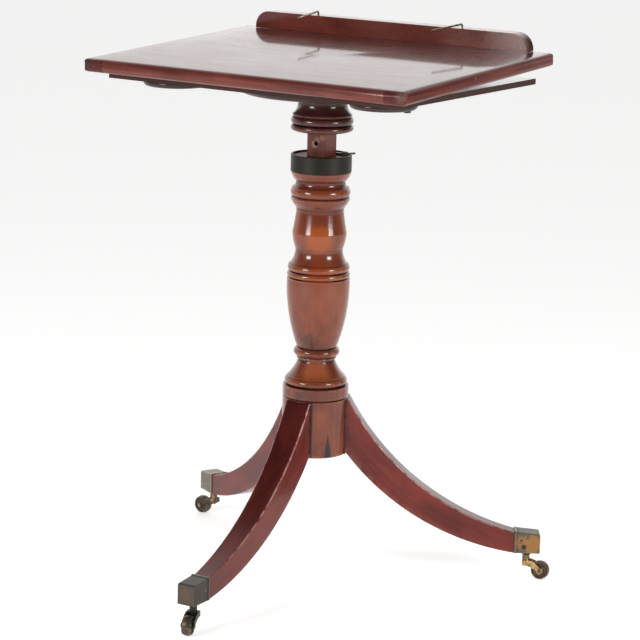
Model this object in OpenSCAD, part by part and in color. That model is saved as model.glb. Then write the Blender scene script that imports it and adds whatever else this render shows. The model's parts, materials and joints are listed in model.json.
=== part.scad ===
// Adjustable book stand: hinged top on a sliding post, turned column, three sabre legs on castors.
// Millimetres, +Z up, origin on the floor under the column's axis.
// The hinge edge of the top faces -Y and the ledge edge faces +Y.

/* [Top] */
// Width of the top along the hinge edge
top_w = 540; // [480:5:600]
// Depth of the top, from hinge edge to ledge edge
top_d = 408; // [380:1:430]
// Thickness of the top
top_t = 20; // [16:0.5:24]
// Width of each clamped end of the top
end_w = 35; // [28:1:45]
// Radius of the rounded edges of the top
top_edge_r = 9; // [3:0.5:9.5]
// Radius of the top's corners, seen from above
top_corner_r = 8; // [2:0.5:12]
// Length of the tongue that joins the panel to its clamped ends
tongue_l = 10; // [6:0.5:16]
// Thickness of that tongue
tongue_t = 6; // [4:0.5:8]
// Height of the top's underside above the floor, at the hinge
hinge_z = 745.2; // [738:0.1:790]
// Shift of the top's middle from the column's axis, towards the ledge
top_shift = -9.3; // [-20:0.1:5]
// Tilt of the top at rest, lying on its folded strut
rest_tilt = 2.82; // [2.8:0.02:3.6]

/* [Under-board] */
// Inset of the under-board from each side of the top
board_side = 28; // [20:1:35]
// Inset of the under-board from the hinge edge of the top
board_front = 25; // [15:1:30]
// Inset of the under-board from the ledge edge of the top
board_back = 4.5; // [0:0.5:6]
// Thickness of the under-board
board_t = 8.5; // [7:0.5:12]
// Radius of the round mounting plate
plate_r = 122; // [90:1:140]
// Thickness of the mounting plate
plate_t = 17; // [12:0.5:20]
// Rounding of the plate's lower edge
plate_edge_r = 9; // [3:0.5:11]
// Distance of the plate screws from the column's axis, along Y
plate_screw_y = 60; // [54:1:64]

/* [Hinges] */
// Distance of each top hinge's middle from the side of the top
hinge_in = 70; // [64:1:110]
// Length of a top hinge
hinge_l = 36; // [30:1:50]
// Width of one leaf of a top hinge
leaf_w = 20; // [16:0.5:26]
// Thickness of a hinge leaf
leaf_t = 1.5; // [1:0.1:2]
// Radius of a top hinge's knuckle
knuckle_r = 3.2; // [2.6:0.1:3.6]
// Radius of a hinge pin
hinge_pin_r = 1.2; // [0.8:0.1:1.5]

/* [Strut and racks] */
// Distance from the top's hinge axis to the strut's hinge axis, also the strut's length
strut_l = 185; // [180:0.5:187]
// Width of the strut
strut_w = 200; // [180:1:240]
// Thickness of the strut
strut_t = 7; // [5:0.5:7.5]
// Distance of each strut hinge from the centre
strut_hinge_x = 72; // [50:1:80]
// Length of a strut hinge
strut_hinge_l = 30; // [24:1:36]
// Radius of a strut hinge's knuckle
strut_knuckle_r = 2.6; // [2.2:0.1:3]
// Distance of each ratchet rack from the centre
rack_x = 40; // [32:1:50]
// Width of a rack
rack_w = 24; // [16:1:26]
// Depth of a rack in the under-board
rack_t = 5; // [4:0.1:5.5]
// Nearest notch, measured from the top's hinge axis
rack_near = 240; // [225:1:260]
// Number of notches
notch_n = 9; // [5:1:10]
// Spacing of the notches
notch_pitch = 14; // [10:0.5:14.5]
// Depth of a notch
notch_d = 2.5; // [1.5:0.1:3]

/* [Ledge] */
// Distance of the ledge's ends from the sides of the top
ledge_in = 33; // [15:1:50]
// Height of the ledge
ledge_h = 26; // [24:0.5:40]
// Thickness of the ledge
ledge_t = 20; // [15:0.5:22]
// Gap from the ledge's back to the top's edge
ledge_back = 5; // [1:0.5:6]
// Radius of the ledge's quarter-round ends
ledge_end_r = 24; // [10:1:24]
// Distance of each dowel from the ledge's end
dowel_in = 57; // [30:1:80]
// Radius of a ledge dowel
dowel_r = 4; // [3:0.5:5]
// Depth of a dowel in the top
dowel_in_top = 11; // [8:0.5:12]
// Depth of a dowel in the ledge
dowel_in_ledge = 12; // [8:0.5:14]

/* [Page holders] */
// Distance of each page holder from the ledge's end
holder_in = 111; // [95:1:140]
// Offset of the page holders from the ledge's middle, towards its front face
holder_off = 3.5; // [0:0.5:4]
// Radius of the wire
wire_r = 1.5; // [1:0.1:2]
// Length of a holder's arm
arm_l = 80; // [50:1:110]
// Height of the arm over the ledge
arm_rise = 6; // [6:0.5:12]
// Outer radius of a bush in the ledge
bush_r = 3; // [2.6:0.1:4]
// Depth of a bush
bush_l = 15; // [10:0.5:20]
// Turn of the left arm from square at rest
left_arm_turn = 12; // [-30:1:30]
// Turn of the right arm from square at rest
right_arm_turn = -2; // [-30:1:30]

/* [Candle stands] */
// Distance of each stand's middle from the side of the top
candle_in = 94; // [90:1:98]
// Distance of each stand's middle from the front edge of the under-board
candle_front = 71.5; // [60:0.5:85]
// Radius of a stand
candle_r = 47; // [45:0.5:50]
// Thickness of a stand
candle_t = 11; // [5:0.5:12]
// Depth of the dished face
dish_d = 1.5; // [0.5:0.1:2.5]
// Width of the stand's raised rim
dish_rim = 5; // [3:0.5:6]
// Distance from a stand's centre to its pivot
pivot_off = 38; // [34:0.5:38.5]
// Radius of a pivot screw
pivot_r = 3; // [2:0.1:3.5]

/* [Post and capital] */
// Side of the square post
post_w = 31; // [26:0.5:32]
// Length of post below the collar's rim at rest
post_in = 246; // [230:1:250]
// Radius of the peg holes
peg_r = 3.5; // [2:0.1:4.5]
// Number of peg holes
peg_n = 9; // [4:1:9]
// Spacing of the peg holes
peg_pitch = 25; // [18:0.5:25]
// Height of the top peg hole over the collar's rim
peg_top = 16.5; // [14:0.5:20]
// Gap between collar and capital at rest
lift = 33; // [28:0.5:38]
// Radius of the capital's two beads
cap_bead_r = 45.5; // [42:0.5:48]
// Height of each capital bead
cap_bead_h = 10.5; // [8:0.5:12]
// Radius of the capital's neck
cap_neck_r = 35.8; // [32:0.2:38]
// Radius of the capital where it meets the plate
cap_flare_r = 38; // [36:0.5:50]

/* [Collar and catch] */
// Outer radius of the collar
collar_r = 44.3; // [43:0.1:48]
// Wall of the collar
collar_wall = 3.3; // [2:0.1:4]
// Height of the collar
collar_h = 25; // [20:0.5:32]
// Height of the rim over the wood inside
rim_h = 2; // [1.5:0.1:4]
// Thickness of the catch lever
catch_t = 2.4; // [2:0.1:3.5]
// Direction of the catch's thumb tab
tab_dir = 50; // [44:1:54]
// Length of the tab outside the rim
tab_out = 6; // [3:0.5:9]
// Radius of the catch's pivot screw
catch_screw_r = 2.2; // [1.8:0.1:2.6]
// Turns of the catch spring
spring_n = 3; // [2:1:4]
// Wire radius of the catch spring
spring_wire_r = 0.5; // [0.4:0.05:0.6]

/* [Column] */
// Height of the drum's underside above the floor
drum_z = 188; // [182:1:189]
// Radius of the drum
drum_r = 48.5; // [44:0.5:54]
// Height of the drum
drum_h = 103; // [97:1:112]
// Drop of the drum's thin groove below its top
drum_groove = 18; // [10:0.5:24]
// Radius of the bead over the drum
base_bead_r = 46; // [42:0.2:47.5]
// Height of the bead over the drum
base_bead_h = 11; // [8:0.5:13]
// Height of the cove over that bead
base_cove_h = 25; // [20:0.5:28]
// Radius of the column's thinnest neck
neck_r = 27.1; // [24.5:0.1:29]
// Height of that neck
neck_h = 6; // [4:0.5:10]
// Radius of the ring under the vase
ring_r = 33.8; // [31:0.2:37]
// Height of the ring
ring_h = 13.5; // [10:0.5:17]
// Largest radius of the vase
vase_r = 46.4; // [43:0.2:49]
// Height of the vase
vase_h = 105; // [94:0.5:112]
// Height of the band with two grooves on the vase
band_h = 9; // [7:0.5:12]
// Radius of the bead over the band
waist_bead_r = 45.2; // [42:0.2:48]
// Height of that bead
waist_bead_h = 10; // [8:0.5:12]
// Radius of the waist
waist_r = 34.6; // [32:0.1:36]
// Height of the cove up to the waist
waist_cove_h = 19; // [15:0.5:23]
// Largest radius of the swell over the waist
swell_r = 39.6; // [37:0.2:43]
// Height of the swell
swell_h = 57; // [48:0.5:62]
// Height of the fillet over the swell
fillet_h = 9; // [6:0.5:11]
// Radius of the two beads under the neck of the mouth
mouth_bead_r = 43.4; // [41:0.2:47]
// Height of each of the two beads
mouth_bead_h = 14; // [10:0.5:16]
// Radius of the cove under the mouth
mouth_cove_r = 36.5; // [33:0.1:38]
// Height of that cove
mouth_cove_h = 9.5; // [8:0.5:14]
// Largest radius of the quarter-round under the collar
ovolo_r = 43.8; // [42:0.2:44]
// Height of the quarter-round below the collar's seat
ovolo_h = 9; // [7:0.5:12]

/* [Legs] */
// Turn of the base against the top
base_turn = 3; // [-10:0.5:10]
// Width of a leg at its cap
leg_w = 26.5; // [22:0.5:27]
// Width of a leg at the drum
leg_root_w = 40; // [30:0.5:42]
// Height of a leg's top face where it leaves the drum
leg_root_top = 275; // [272:0.5:284]
// Height of a leg's lower face at the drum
leg_root_low = 188.5; // [186:0.5:200]
// Distance from the axis to the middle of the leg's curve
leg_mid_x = 150; // [140:1:160]
// Height of the top face there
leg_mid_top = 149.5; // [146:0.5:156]
// Height of the lower face there
leg_mid_low = 97; // [88:0.5:100]
// Depth of a leg's dovetail in the drum
tail_l = 15; // [10:0.5:18]
// Width of the dovetail at the drum's surface
tail_w = 12; // [9:0.5:14]
// Spread of the dovetail on each side
tail_spread = 2.5; // [1:0.1:4]

/* [Brass caps] */
// Distance from the axis to the outer end of a cap
cap_out = 339.5; // [330:0.5:360]
// Length of a cap
cap_l = 38; // [34:0.5:42]
// Width of a cap
cap_w = 28; // [27:0.1:33]
// Height of a cap's underside above the floor
cap_z = 41.3; // [40:0.1:46]
// Height of a cap at its outer end
cap_h_out = 29.7; // [26:0.1:31]
// Height of a cap at its inner end
cap_h_in = 32.9; // [32:0.1:36]
// Wall of a cap
cap_wall = 1.8; // [1.2:0.1:2.2]
// Floor of a cap
cap_floor = 3; // [2:0.1:4]
// Height of the boss under a cap
boss_h = 5; // [4:0.1:6]
// Radius of the boss at its foot
boss_r = 6.5; // [6:0.1:8]
// How much wider the boss is where it meets the cap
boss_flare = 5; // [2:0.1:5.5]
// Width of the raised lip at a cap's mouth
lip_w = 3.5; // [2:0.1:5]
// How far the lip stands proud
lip_out = 0.7; // [0.4:0.1:1.2]

/* [Castors] */
// Diameter of a wheel
wheel_d = 28; // [24:0.5:30]
// Width of a wheel
wheel_w = 12; // [9:0.5:13]
// Distance from swivel axis to axle
trail = 22; // [21:0.5:25]
// Radius of an axle
axle_r = 2; // [1.5:0.1:2.5]
// Radius of a castor's pintle
pintle_r = 4; // [3:0.1:4.5]
// Radius of the upright barrel of a horn
barrel_r = 5.5; // [5:0.1:6.5]
// Height of the barrel's foot over the axle
barrel_foot = 5.5; // [4:0.1:7]
// Height of a horn's arm where it leaves the barrel
arm_h = 9; // [7:0.1:9.5]
// Thickness of a horn's arm
arm_t = 2.8; // [2:0.1:3.5]
// Rest direction of the front castor
front_trail_dir = -72; // [-180:1:180]
// Rest direction of the right castor
right_trail_dir = 20; // [-180:1:180]
// Rest direction of the left castor
left_trail_dir = 175; // [0:1:360]

/* [Clearances] */
// Gap between pieces that move past each other
gap = 0.3; // [0.2:0.05:0.4]
// Radial clearance of a pin or shaft that turns
run = 0.05; // [0.02:0.01:0.09]
// Clearance of pieces fixed in each other
fixed = 0.04; // [0.02:0.01:0.08]

/* [Hidden] */
$fn = 72;
eps = 0.01;
arc_n = 8;

// Finishes
mahogany = "#7a3320";
dark_mahogany = "#4d2018";
polished_mahogany = "#8a3f26";
old_brass = "#6f6443";
bright_brass = "#b08d4a";
iron = "#3b3836";

// Heights of the column's mouldings, from the drum up
z_drum_top = drum_z + drum_h;
z_base_bead = z_drum_top + base_bead_h;
z_base_cove = z_base_bead + base_cove_h;
z_neck = z_base_cove + neck_h;
z_ring = z_neck + ring_h;
z_vase = z_ring + vase_h;
z_band = z_vase + band_h;
z_waist_bead = z_band + waist_bead_h;
z_waist = z_waist_bead + waist_cove_h;
z_swell = z_waist + swell_h;
z_fillet = z_swell + fillet_h;
z_mouth_bead_1 = z_fillet + mouth_bead_h;
z_mouth_bead_2 = z_mouth_bead_1 + mouth_bead_h;
z_mouth_cove = z_mouth_bead_2 + mouth_cove_h;
z_ovolo = z_mouth_cove + ovolo_h;
collar_seat = 4.3;
z_collar = z_ovolo + collar_seat;
z_rim = z_collar + collar_h;
z_mouth = z_rim - rim_h;
collar_in = collar_r - collar_wall;

// Heights of the riser, from the hinge down
hinge_axis_y = -top_d / 2 + top_shift + board_front - gap;
board_top = hinge_z - gap;
board_low = board_top - board_t;
plate_low = board_low - plate_t;
cap_low = z_rim + lift;
board_x = top_w / 2 - board_side;
board_y0 = hinge_axis_y + gap;
board_y1 = top_d / 2 + top_shift - board_back;
top_front = -board_front + gap;
top_back = top_front + top_d;
hinge_x = top_w / 2 - hinge_in;
candle_x = top_w / 2 - candle_in;
candle_y = board_y0 + candle_front;
ledge_l = top_w - 2 * ledge_in;
dowel_x = ledge_l / 2 - dowel_in;
holder_x = ledge_l / 2 - holder_in;

// Screws: head radius, head height, shank radius, length
leaf_screw = [2.6, 1.2, 1.3, 6];
plate_screw = [4.2, 2.4, 2.2, 18];
brace_screw = [3.6, 1.6, 1.8, 14];
cap_screw = [2.4, 1.2, 1.3, 7];

// Catch: a bell crank on the wood inside the collar's rim
catch_pivot = [collar_in * 0.62, collar_in * 0.55];
catch_z = z_mouth + gap;
catch_web = 8;
tab_w = 4;
nose_w = 5;
spring_r = catch_screw_r + 1.6;
spring_pitch = 2 * spring_wire_r + 0.6;
spring_pocket_r = spring_r + spring_wire_r + 0.8;
spring_pocket_d = spring_n * spring_pitch + 3 * spring_wire_r;
catch_screw_l = spring_pocket_d + 10;

// Legs
leg_dirs = [-90 + base_turn, 30 + base_turn, 150 + base_turn];
cap_in = cap_out - cap_l;
castor_x = cap_out - cap_l / 2;
toe_top = cap_z + cap_h_in - cap_wall + 0.6;
toe_low = cap_z + cap_wall - 1.8;
leg_upper = circle_through([drum_r, leg_root_top], [leg_mid_x, leg_mid_top], [cap_in, toe_top]);
leg_lower = circle_through([drum_r, leg_root_low], [leg_mid_x, leg_mid_low], [cap_in, toe_low]);
leg_head = z_drum_top - drum_groove - 2;
tail_top = leg_root_top - 12;
cap_core = cap_w - 2 * cap_wall;
brace_t = 2.5;
brace_w = 18;
brace_screw_r = drum_r - tail_l / 2;

// Castors
wheel_r = wheel_d / 2;
horn_top = cap_z - boss_h - gap;
fork_in = wheel_w / 2 + gap;
fork_out = fork_in + arm_t;
eye_r = axle_r + 2.5;
pintle_head = [pintle_r + 1.2, 2.2];
pintle_top = cap_z + cap_floor + gap + pintle_head[1];
trail_dirs = [front_trail_dir, right_trail_dir, left_trail_dir];

// Centre and radius of the circle through three points, as [x, y, r]
function circle_through(a, b, c) =
    let (d = 2 * (a.x * (b.y - c.y) + b.x * (c.y - a.y) + c.x * (a.y - b.y)),
         x = ((a * a) * (b.y - c.y) + (b * b) * (c.y - a.y) + (c * c) * (a.y - b.y)) / d,
         y = ((a * a) * (c.x - b.x) + (b * b) * (a.x - c.x) + (c * c) * (b.x - a.x)) / d)
    [x, y, norm(a - [x, y])];

// Points of the arc from a through b to c
function arc(a, b, c, n = arc_n) =
    let (o = circle_through(a, b, c),
         m = [o.x, o.y],
         turn = (b.x - a.x) * (c.y - a.y) - (b.y - a.y) * (c.x - a.x) > 0 ? 1 : -1,
         a0 = atan2(a.y - m.y, a.x - m.x),
         a1 = atan2(c.y - m.y, c.x - m.x),
         sweep = turn > 0 ? (a1 - a0 + 720) % 360 : -((a0 - a1 + 720) % 360))
    [for (i = [0:n]) m + o[2] * [cos(a0 + sweep * i / n), sin(a0 + sweep * i / n)]];

// Half-round moulding between two heights, from edge radius to full radius
function bead(z0, z1, edge_r, full_r) = arc([edge_r, z0], [full_r, (z0 + z1) / 2], [edge_r, z1]);

// Hollow or round moulding between two points, bowed by its middle radius
function cove(z0, r0, z1, r1, mid_r) = arc([r0, z0], [mid_r, (z0 + z1) / 2], [r1, z1]);

module turned(profile) {
    rotate_extrude($fn = 96) polygon(profile);
}

// Countersunk wood screw, head face at the origin, shank along -Z
module screw_solid(s, slot = true) {
    difference() {
        rotate_extrude($fn = 32)
            polygon([[0, 0], [s[0], 0], [s[2], -s[1]], [s[2], -s[3]], [0, -s[3]]]);
        if (slot) translate([-s[0], -0.4, -0.6]) cube([2 * s[0], 0.8, 1]);
    }
}

module screw_hole(s) {
    rotate_extrude($fn = 32)
        polygon([[0, eps], [s[0] + fixed, eps], [s[0] + fixed, 0], [s[2] + fixed, -s[1]],
                 [s[2] + fixed, -s[3] - fixed], [0, -s[3] - fixed]]);
}

// A box whose centre in X and Y is the origin
module block(w, d, h) {
    translate([-w / 2, -d / 2, 0]) cube([w, d, h]);
}

// Column

module column_profile() {
    quirk = 1.6;
    polygon(concat(
        [[0, drum_z], [drum_r, drum_z], [drum_r, z_drum_top - drum_groove - quirk],
         [drum_r - 1, z_drum_top - drum_groove], [drum_r, z_drum_top - drum_groove + quirk],
         [drum_r, z_drum_top - quirk], [base_bead_r - 2.5, z_drum_top]],
        bead(z_drum_top, z_base_bead, base_bead_r - 2.5, base_bead_r),
        cove(z_base_bead, base_bead_r - 3, z_base_cove, neck_r, neck_r + 6.1),
        [[neck_r, z_neck - 3.6]],
        bead(z_neck - 3.5, z_neck, neck_r + 0.6, neck_r + 2.4),
        bead(z_neck + eps, z_ring, neck_r + 1.6, ring_r),
        cove(z_ring, neck_r + 2.5, z_vase - quirk, vase_r - 0.5, vase_r - 3.6),
        [[vase_r - 2.5, z_vase]],
        bead(z_vase, z_band - quirk, vase_r - 2, vase_r - 0.4),
        [[waist_bead_r - 2.5, z_band]],
        bead(z_band, z_waist_bead, waist_bead_r - 2, waist_bead_r),
        cove(z_waist_bead, waist_bead_r - 2.6, z_waist, waist_r, waist_r + 2.2),
        arc([waist_r + 0.4, z_waist + 4], [swell_r - 0.8, z_waist + swell_h * 0.32],
            [swell_r, z_waist + swell_h * 0.46]),
        arc([swell_r, z_waist + swell_h * 0.48], [swell_r - 2.6, z_waist + swell_h * 0.74],
            [waist_r + 0.2, z_swell]),
        [[waist_r + 0.2, z_fillet - 2.4], [waist_r + 0.9, z_fillet - 2.4]],
        arc([mouth_bead_r - 6.8, z_fillet], [mouth_bead_r - 1.9, z_fillet + mouth_bead_h * 0.5],
            [mouth_bead_r, z_fillet + mouth_bead_h * 0.86]),
        [[mouth_bead_r - 1.4, z_mouth_bead_1]],
        bead(z_mouth_bead_1 + eps, z_mouth_bead_2, mouth_bead_r - 2.6, mouth_bead_r),
        cove(z_mouth_bead_2 + eps, mouth_bead_r - 3.6, z_mouth_cove, mouth_cove_r + 0.4, mouth_cove_r),
        arc([mouth_cove_r + 0.5, z_mouth_cove + eps], [ovolo_r - 2.1, (z_mouth_cove + z_collar) / 2],
            [ovolo_r, z_collar - fixed]),
        [[collar_in - fixed, z_collar - fixed], [collar_in - fixed, z_mouth], [0, z_mouth]]));
}

module dovetail(length, spare) {
    half = tail_w / 2 + spare;
    inner = drum_r - tail_l - spare;
    linear_extrude(length)
        polygon([[inner, -half - tail_spread], [drum_r + 1, -half], [drum_r + 1, half],
                 [inner, half + tail_spread]]);
}

module column() {
    post_hole = post_w + 2 * gap;
    color(mahogany)
    difference() {
        rotate_extrude($fn = 96) column_profile();
        translate([0, 0, z_rim - post_in - lift - 4])
            block(post_hole, post_hole, post_in + lift + 10);
        for (dir = leg_dirs)
            rotate(dir) translate([0, 0, drum_z - 1]) dovetail(tail_top + fixed - drum_z + 1, fixed);
        translate([catch_pivot.x, catch_pivot.y, z_mouth - spring_pocket_d])
            cylinder(r = spring_pocket_r, h = spring_pocket_d + 1);
        translate([catch_pivot.x, catch_pivot.y, z_mouth - catch_screw_l])
            cylinder(r = catch_screw_r + fixed, h = catch_screw_l);
        translate([0, 0, drum_z]) rotate([180, 0, 0]) translate([0, 0, brace_t]) {
            screw_hole(brace_screw);
        }
    }
}

module collar() {
    slot_w = tab_w + 6;
    color(old_brass)
    difference() {
        turned(concat(
            [[collar_in, z_collar], [collar_r - 0.8, z_collar]],
            [[collar_r, z_collar + 0.8], [collar_r, z_rim - 0.8], [collar_r - 0.8, z_rim],
             [collar_in, z_rim]]));
        rotate(tab_dir - 3) translate([collar_in - 2, -slot_w / 2, z_mouth])
            cube([collar_wall + 4, slot_w, rim_h + 1]);
    }
}

// Catch lever, its screw and its spring

module catch_outline() {
    tab_tip = [(collar_r + tab_out) * cos(tab_dir), (collar_r + tab_out) * sin(tab_dir)];
    nose_y = post_w / 2 + gap + 0.4;
    to_tab = tab_tip - catch_pivot;
    translate(catch_pivot) circle(d = catch_web + 3);
    translate(catch_pivot) rotate(atan2(to_tab.y, to_tab.x))
        translate([0, -tab_w / 2]) square([norm(to_tab), tab_w]);
    polygon([[-nose_w / 2, nose_y], [nose_w / 2, nose_y], [nose_w / 2 + 1, nose_y + 2],
             [catch_pivot.x + 2, catch_pivot.y - catch_web / 2],
             [catch_pivot.x - 1, catch_pivot.y + catch_web / 2], [-nose_w / 2 - 1, nose_y + 7]]);
}

module catch_lever() {
    color(old_brass)
    difference() {
        translate([0, 0, catch_z]) linear_extrude(catch_t) catch_outline();
        translate([catch_pivot.x, catch_pivot.y, catch_z - 1])
            cylinder(r = catch_screw_r + run, h = catch_t + 2);
    }
}

module catch_screw() {
    head_r = catch_screw_r + 2;
    head_h = 1.8;
    color(old_brass)
    translate([catch_pivot.x, catch_pivot.y, z_mouth - catch_screw_l + 1]) {
        cylinder(r = catch_screw_r, h = catch_screw_l - 1 + 2 * gap + catch_t);
        translate([0, 0, catch_screw_l - 1 + 2 * gap + catch_t])
            difference() {
                cylinder(r = head_r, h = head_h);
                translate([-head_r, -0.5, head_h - 0.8]) cube([2 * head_r, 1, 1]);
            }
    }
}

// Tube of six sides swept along the coil of the catch spring
module catch_spring() {
    sides = 6;
    steps = 12 * spring_n;
    z0 = z_mouth - spring_pocket_d + 1.5 * spring_wire_r;
    function ring_point(i, k) =
        let (a = 360 * i / 12, b = 360 * k / sides, r = spring_r + spring_wire_r * cos(b))
        [r * cos(a), r * sin(a), spring_pitch * i / 12 + spring_wire_r * sin(b)];
    points = [for (i = [0:steps]) for (k = [0:sides - 1]) ring_point(i, k)];
    sides_faces = [for (i = [0:steps - 1]) for (k = [0:sides - 1]) for (half = [0:1])
        let (a = i * sides + k, b = i * sides + (k + 1) % sides)
        half == 0 ? [a, a + sides, b] : [b, a + sides, b + sides]];
    first_cap = [for (k = [1:sides - 2]) [0, k, k + 1]];
    last = steps * sides;
    last_cap = [for (k = [1:sides - 2]) [last, last + k + 1, last + k]];
    echo(spring_gap = spring_pitch - 2 * spring_wire_r);
    color(iron)
    translate([catch_pivot.x, catch_pivot.y, z0])
        polyhedron(points, concat(sides_faces, first_cap, last_cap));
}

// Legs, brass caps and the brace under the drum

module leg_side() {
    intersection() {
        difference() {
            translate([leg_lower.x, leg_lower.y]) circle(r = leg_lower[2], $fn = 240);
            translate([leg_upper.x, leg_upper.y]) circle(r = leg_upper[2], $fn = 240);
        }
        translate([drum_r / 2, 0]) square([cap_in - drum_r / 2, leg_head]);
    }
}

// Plan of a leg, which narrows evenly from the drum to the cap
module leg_plan() {
    polygon([[0, -leg_root_w / 2], [drum_r, -leg_root_w / 2], [cap_in, -leg_w / 2], [cap_in + 1, -leg_w / 2],
             [cap_in + 1, leg_w / 2], [cap_in, leg_w / 2], [drum_r, leg_root_w / 2], [0, leg_root_w / 2]]);
}

// Side outline of the cap's inside: the cap's own for no spare, the leg's toe for a clearance
module cap_cavity(spare) {
    function ceiling(x) = cap_z + cap_h_in - cap_wall - (cap_h_in - cap_h_out) * (x - cap_in) / cap_l - spare;
    start = spare > 0 ? cap_in : cap_in - 1;
    end = cap_out - cap_wall - spare;
    low = cap_z + cap_floor + spare;
    polygon([[start, low], [end, low], [end, ceiling(end)], [start, ceiling(start)]]);
}

module leg() {
    color(mahogany)
    difference() {
        union() {
            difference() {
                intersection() {
                    translate([0, leg_root_w / 2 + 1, 0]) rotate([90, 0, 0])
                        linear_extrude(leg_root_w + 2) leg_side();
                    linear_extrude(leg_root_top + 20) leg_plan();
                }
                translate([0, 0, 1]) cylinder(r = drum_r + fixed, h = leg_root_top + 60, $fn = 96);
            }
            translate([0, cap_core / 2 - fixed, 0]) rotate([90, 0, 0])
                linear_extrude(cap_core - 2 * fixed) cap_cavity(fixed);
            translate([0, 0, drum_z]) dovetail(tail_top - drum_z, 0);
        }
        translate([castor_x, 0, cap_z]) cylinder(r = pintle_head[0] + 0.6, h = pintle_top - cap_z + 2);
        cap_screw_places() screw_hole(cap_screw);
        translate([brace_screw_r, 0, drum_z - brace_t]) rotate([180, 0, 0]) screw_hole(brace_screw);
    }
}

module cap_screw_places() {
    for (side = [-1, 1])
        translate([cap_in + lip_w + 6, side * cap_w / 2, cap_z + cap_h_out * 0.55])
            rotate([side * -90, 0, 0]) children();
}

module brass_cap() {
    corner = 3;
    color(old_brass)
    difference() {
        union() {
            translate([0, cap_w / 2, 0]) rotate([90, 0, 0]) linear_extrude(cap_w)
                polygon(concat(
                    [[cap_in, cap_z], [cap_out, cap_z]],
                    arc([cap_out, cap_z + cap_h_out - corner],
                        [cap_out - corner * 0.29, cap_z + cap_h_out - corner * 0.29],
                        [cap_out - corner, cap_z + cap_h_out]),
                    [[cap_in, cap_z + cap_h_in]]));
            translate([cap_in, cap_w / 2 + lip_out, 0]) rotate([90, 0, 0]) linear_extrude(cap_w + 2 * lip_out)
                polygon([[0, cap_z], [lip_w, cap_z], [lip_w, cap_z + cap_h_in + lip_out - 0.3],
                         [0, cap_z + cap_h_in + lip_out]]);
            translate([castor_x, 0, cap_z - boss_h])
                cylinder(r1 = boss_r, r2 = boss_r + boss_flare, h = boss_h + eps);
        }
        translate([0, cap_core / 2, 0]) rotate([90, 0, 0]) linear_extrude(cap_core) cap_cavity(0);
        translate([castor_x, 0, cap_z - boss_h - 1]) cylinder(r = pintle_r + run, h = boss_h + cap_floor + 2);
        cap_screw_places() screw_hole(cap_screw);
    }
}

module cap_screws() {
    color(bright_brass)
    for (dir = leg_dirs) rotate(dir) cap_screw_places() screw_solid(cap_screw);
}

module brace_screw_places() {
    translate([0, 0, drum_z - brace_t]) rotate([180, 0, 0]) children();
    for (dir = leg_dirs)
        rotate(dir) translate([brace_screw_r, 0, drum_z - brace_t]) rotate([180, 0, 0]) children();
}

module brace_plate() {
    color(iron)
    difference() {
        union() {
            translate([0, 0, drum_z - brace_t]) cylinder(r = drum_r * 0.55, h = brace_t);
            for (dir = leg_dirs)
                rotate(dir) translate([0, -brace_w / 2, drum_z - brace_t])
                    cube([drum_r - 2, brace_w, brace_t]);
        }
        brace_screw_places() screw_hole(brace_screw);
    }
}

module brace_screws() {
    color(iron) brace_screw_places() screw_solid(brace_screw);
}

// Castors

module at_castor(i) {
    rotate(leg_dirs[i]) translate([castor_x, 0, 0]) rotate(trail_dirs[i] - leg_dirs[i]) children();
}

// Cast horn: an upright barrel, a crosshead behind the wheel and two curved arms down to the axle
module horn() {
    foot = wheel_r + barrel_foot;
    arm_top = foot + arm_h;
    chamfer = 1.2;
    color(bright_brass)
    difference() {
        union() {
            turned([[0, foot], [barrel_r - chamfer, foot], [barrel_r, foot + chamfer], [barrel_r, horn_top],
                    [pintle_r, horn_top], [pintle_r, pintle_top - pintle_head[1]],
                    [pintle_head[0], pintle_top - pintle_head[1]], [pintle_head[0], pintle_top], [0, pintle_top]]);
            translate([0, 0, foot + chamfer])
                block(2 * barrel_r - 1.6, 2 * fork_out, arm_h - chamfer);
            for (side = [-1, 1])
                translate([0, side > 0 ? fork_out : -fork_in, 0]) rotate([90, 0, 0]) linear_extrude(arm_t) {
                    polygon(concat(
                        arc([0, arm_top], [trail * 0.68, wheel_r + 10.8], [trail + eye_r - 0.2, wheel_r]),
                        arc([trail - eye_r + 0.2, wheel_r], [trail * 0.55, foot - 2.2], [0, foot + chamfer])));
                    translate([trail, wheel_r]) circle(r = eye_r);
                }
        }
        translate([trail, fork_out + 1, wheel_r]) rotate([90, 0, 0])
            cylinder(r = axle_r + fixed / 2, h = 2 * fork_out + 2);
    }
}

module axle() {
    color(old_brass)
    translate([trail, 0, wheel_r]) rotate([90, 0, 0]) {
        translate([0, 0, -fork_out - 1]) cylinder(r = axle_r, h = 2 * fork_out + 2);
        for (side = [-1, 1]) translate([0, 0, side * (fork_out + 0.6) - 0.6])
            cylinder(r = axle_r + 1, h = 1.2);
    }
}

module wheel() {
    half = wheel_w / 2;
    dish = 1.4;
    hub_r = axle_r + 3;
    color(bright_brass)
    translate([trail, 0, wheel_r]) rotate([90, 0, 0])
        turned(concat(
            [[axle_r + run, -half], [hub_r, -half], [hub_r + 1, -half + dish], [wheel_r - 3.4, -half + dish],
             [wheel_r - 2.4, -half]],
            arc([wheel_r - 1.2, -half], [wheel_r, 0], [wheel_r - 1.2, half]),
            [[wheel_r - 2.4, half], [wheel_r - 3.4, half - dish], [hub_r + 1, half - dish], [hub_r, half],
             [axle_r + run, half]]));
}

// Riser: post, capital, plate, under-board, racks

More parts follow.
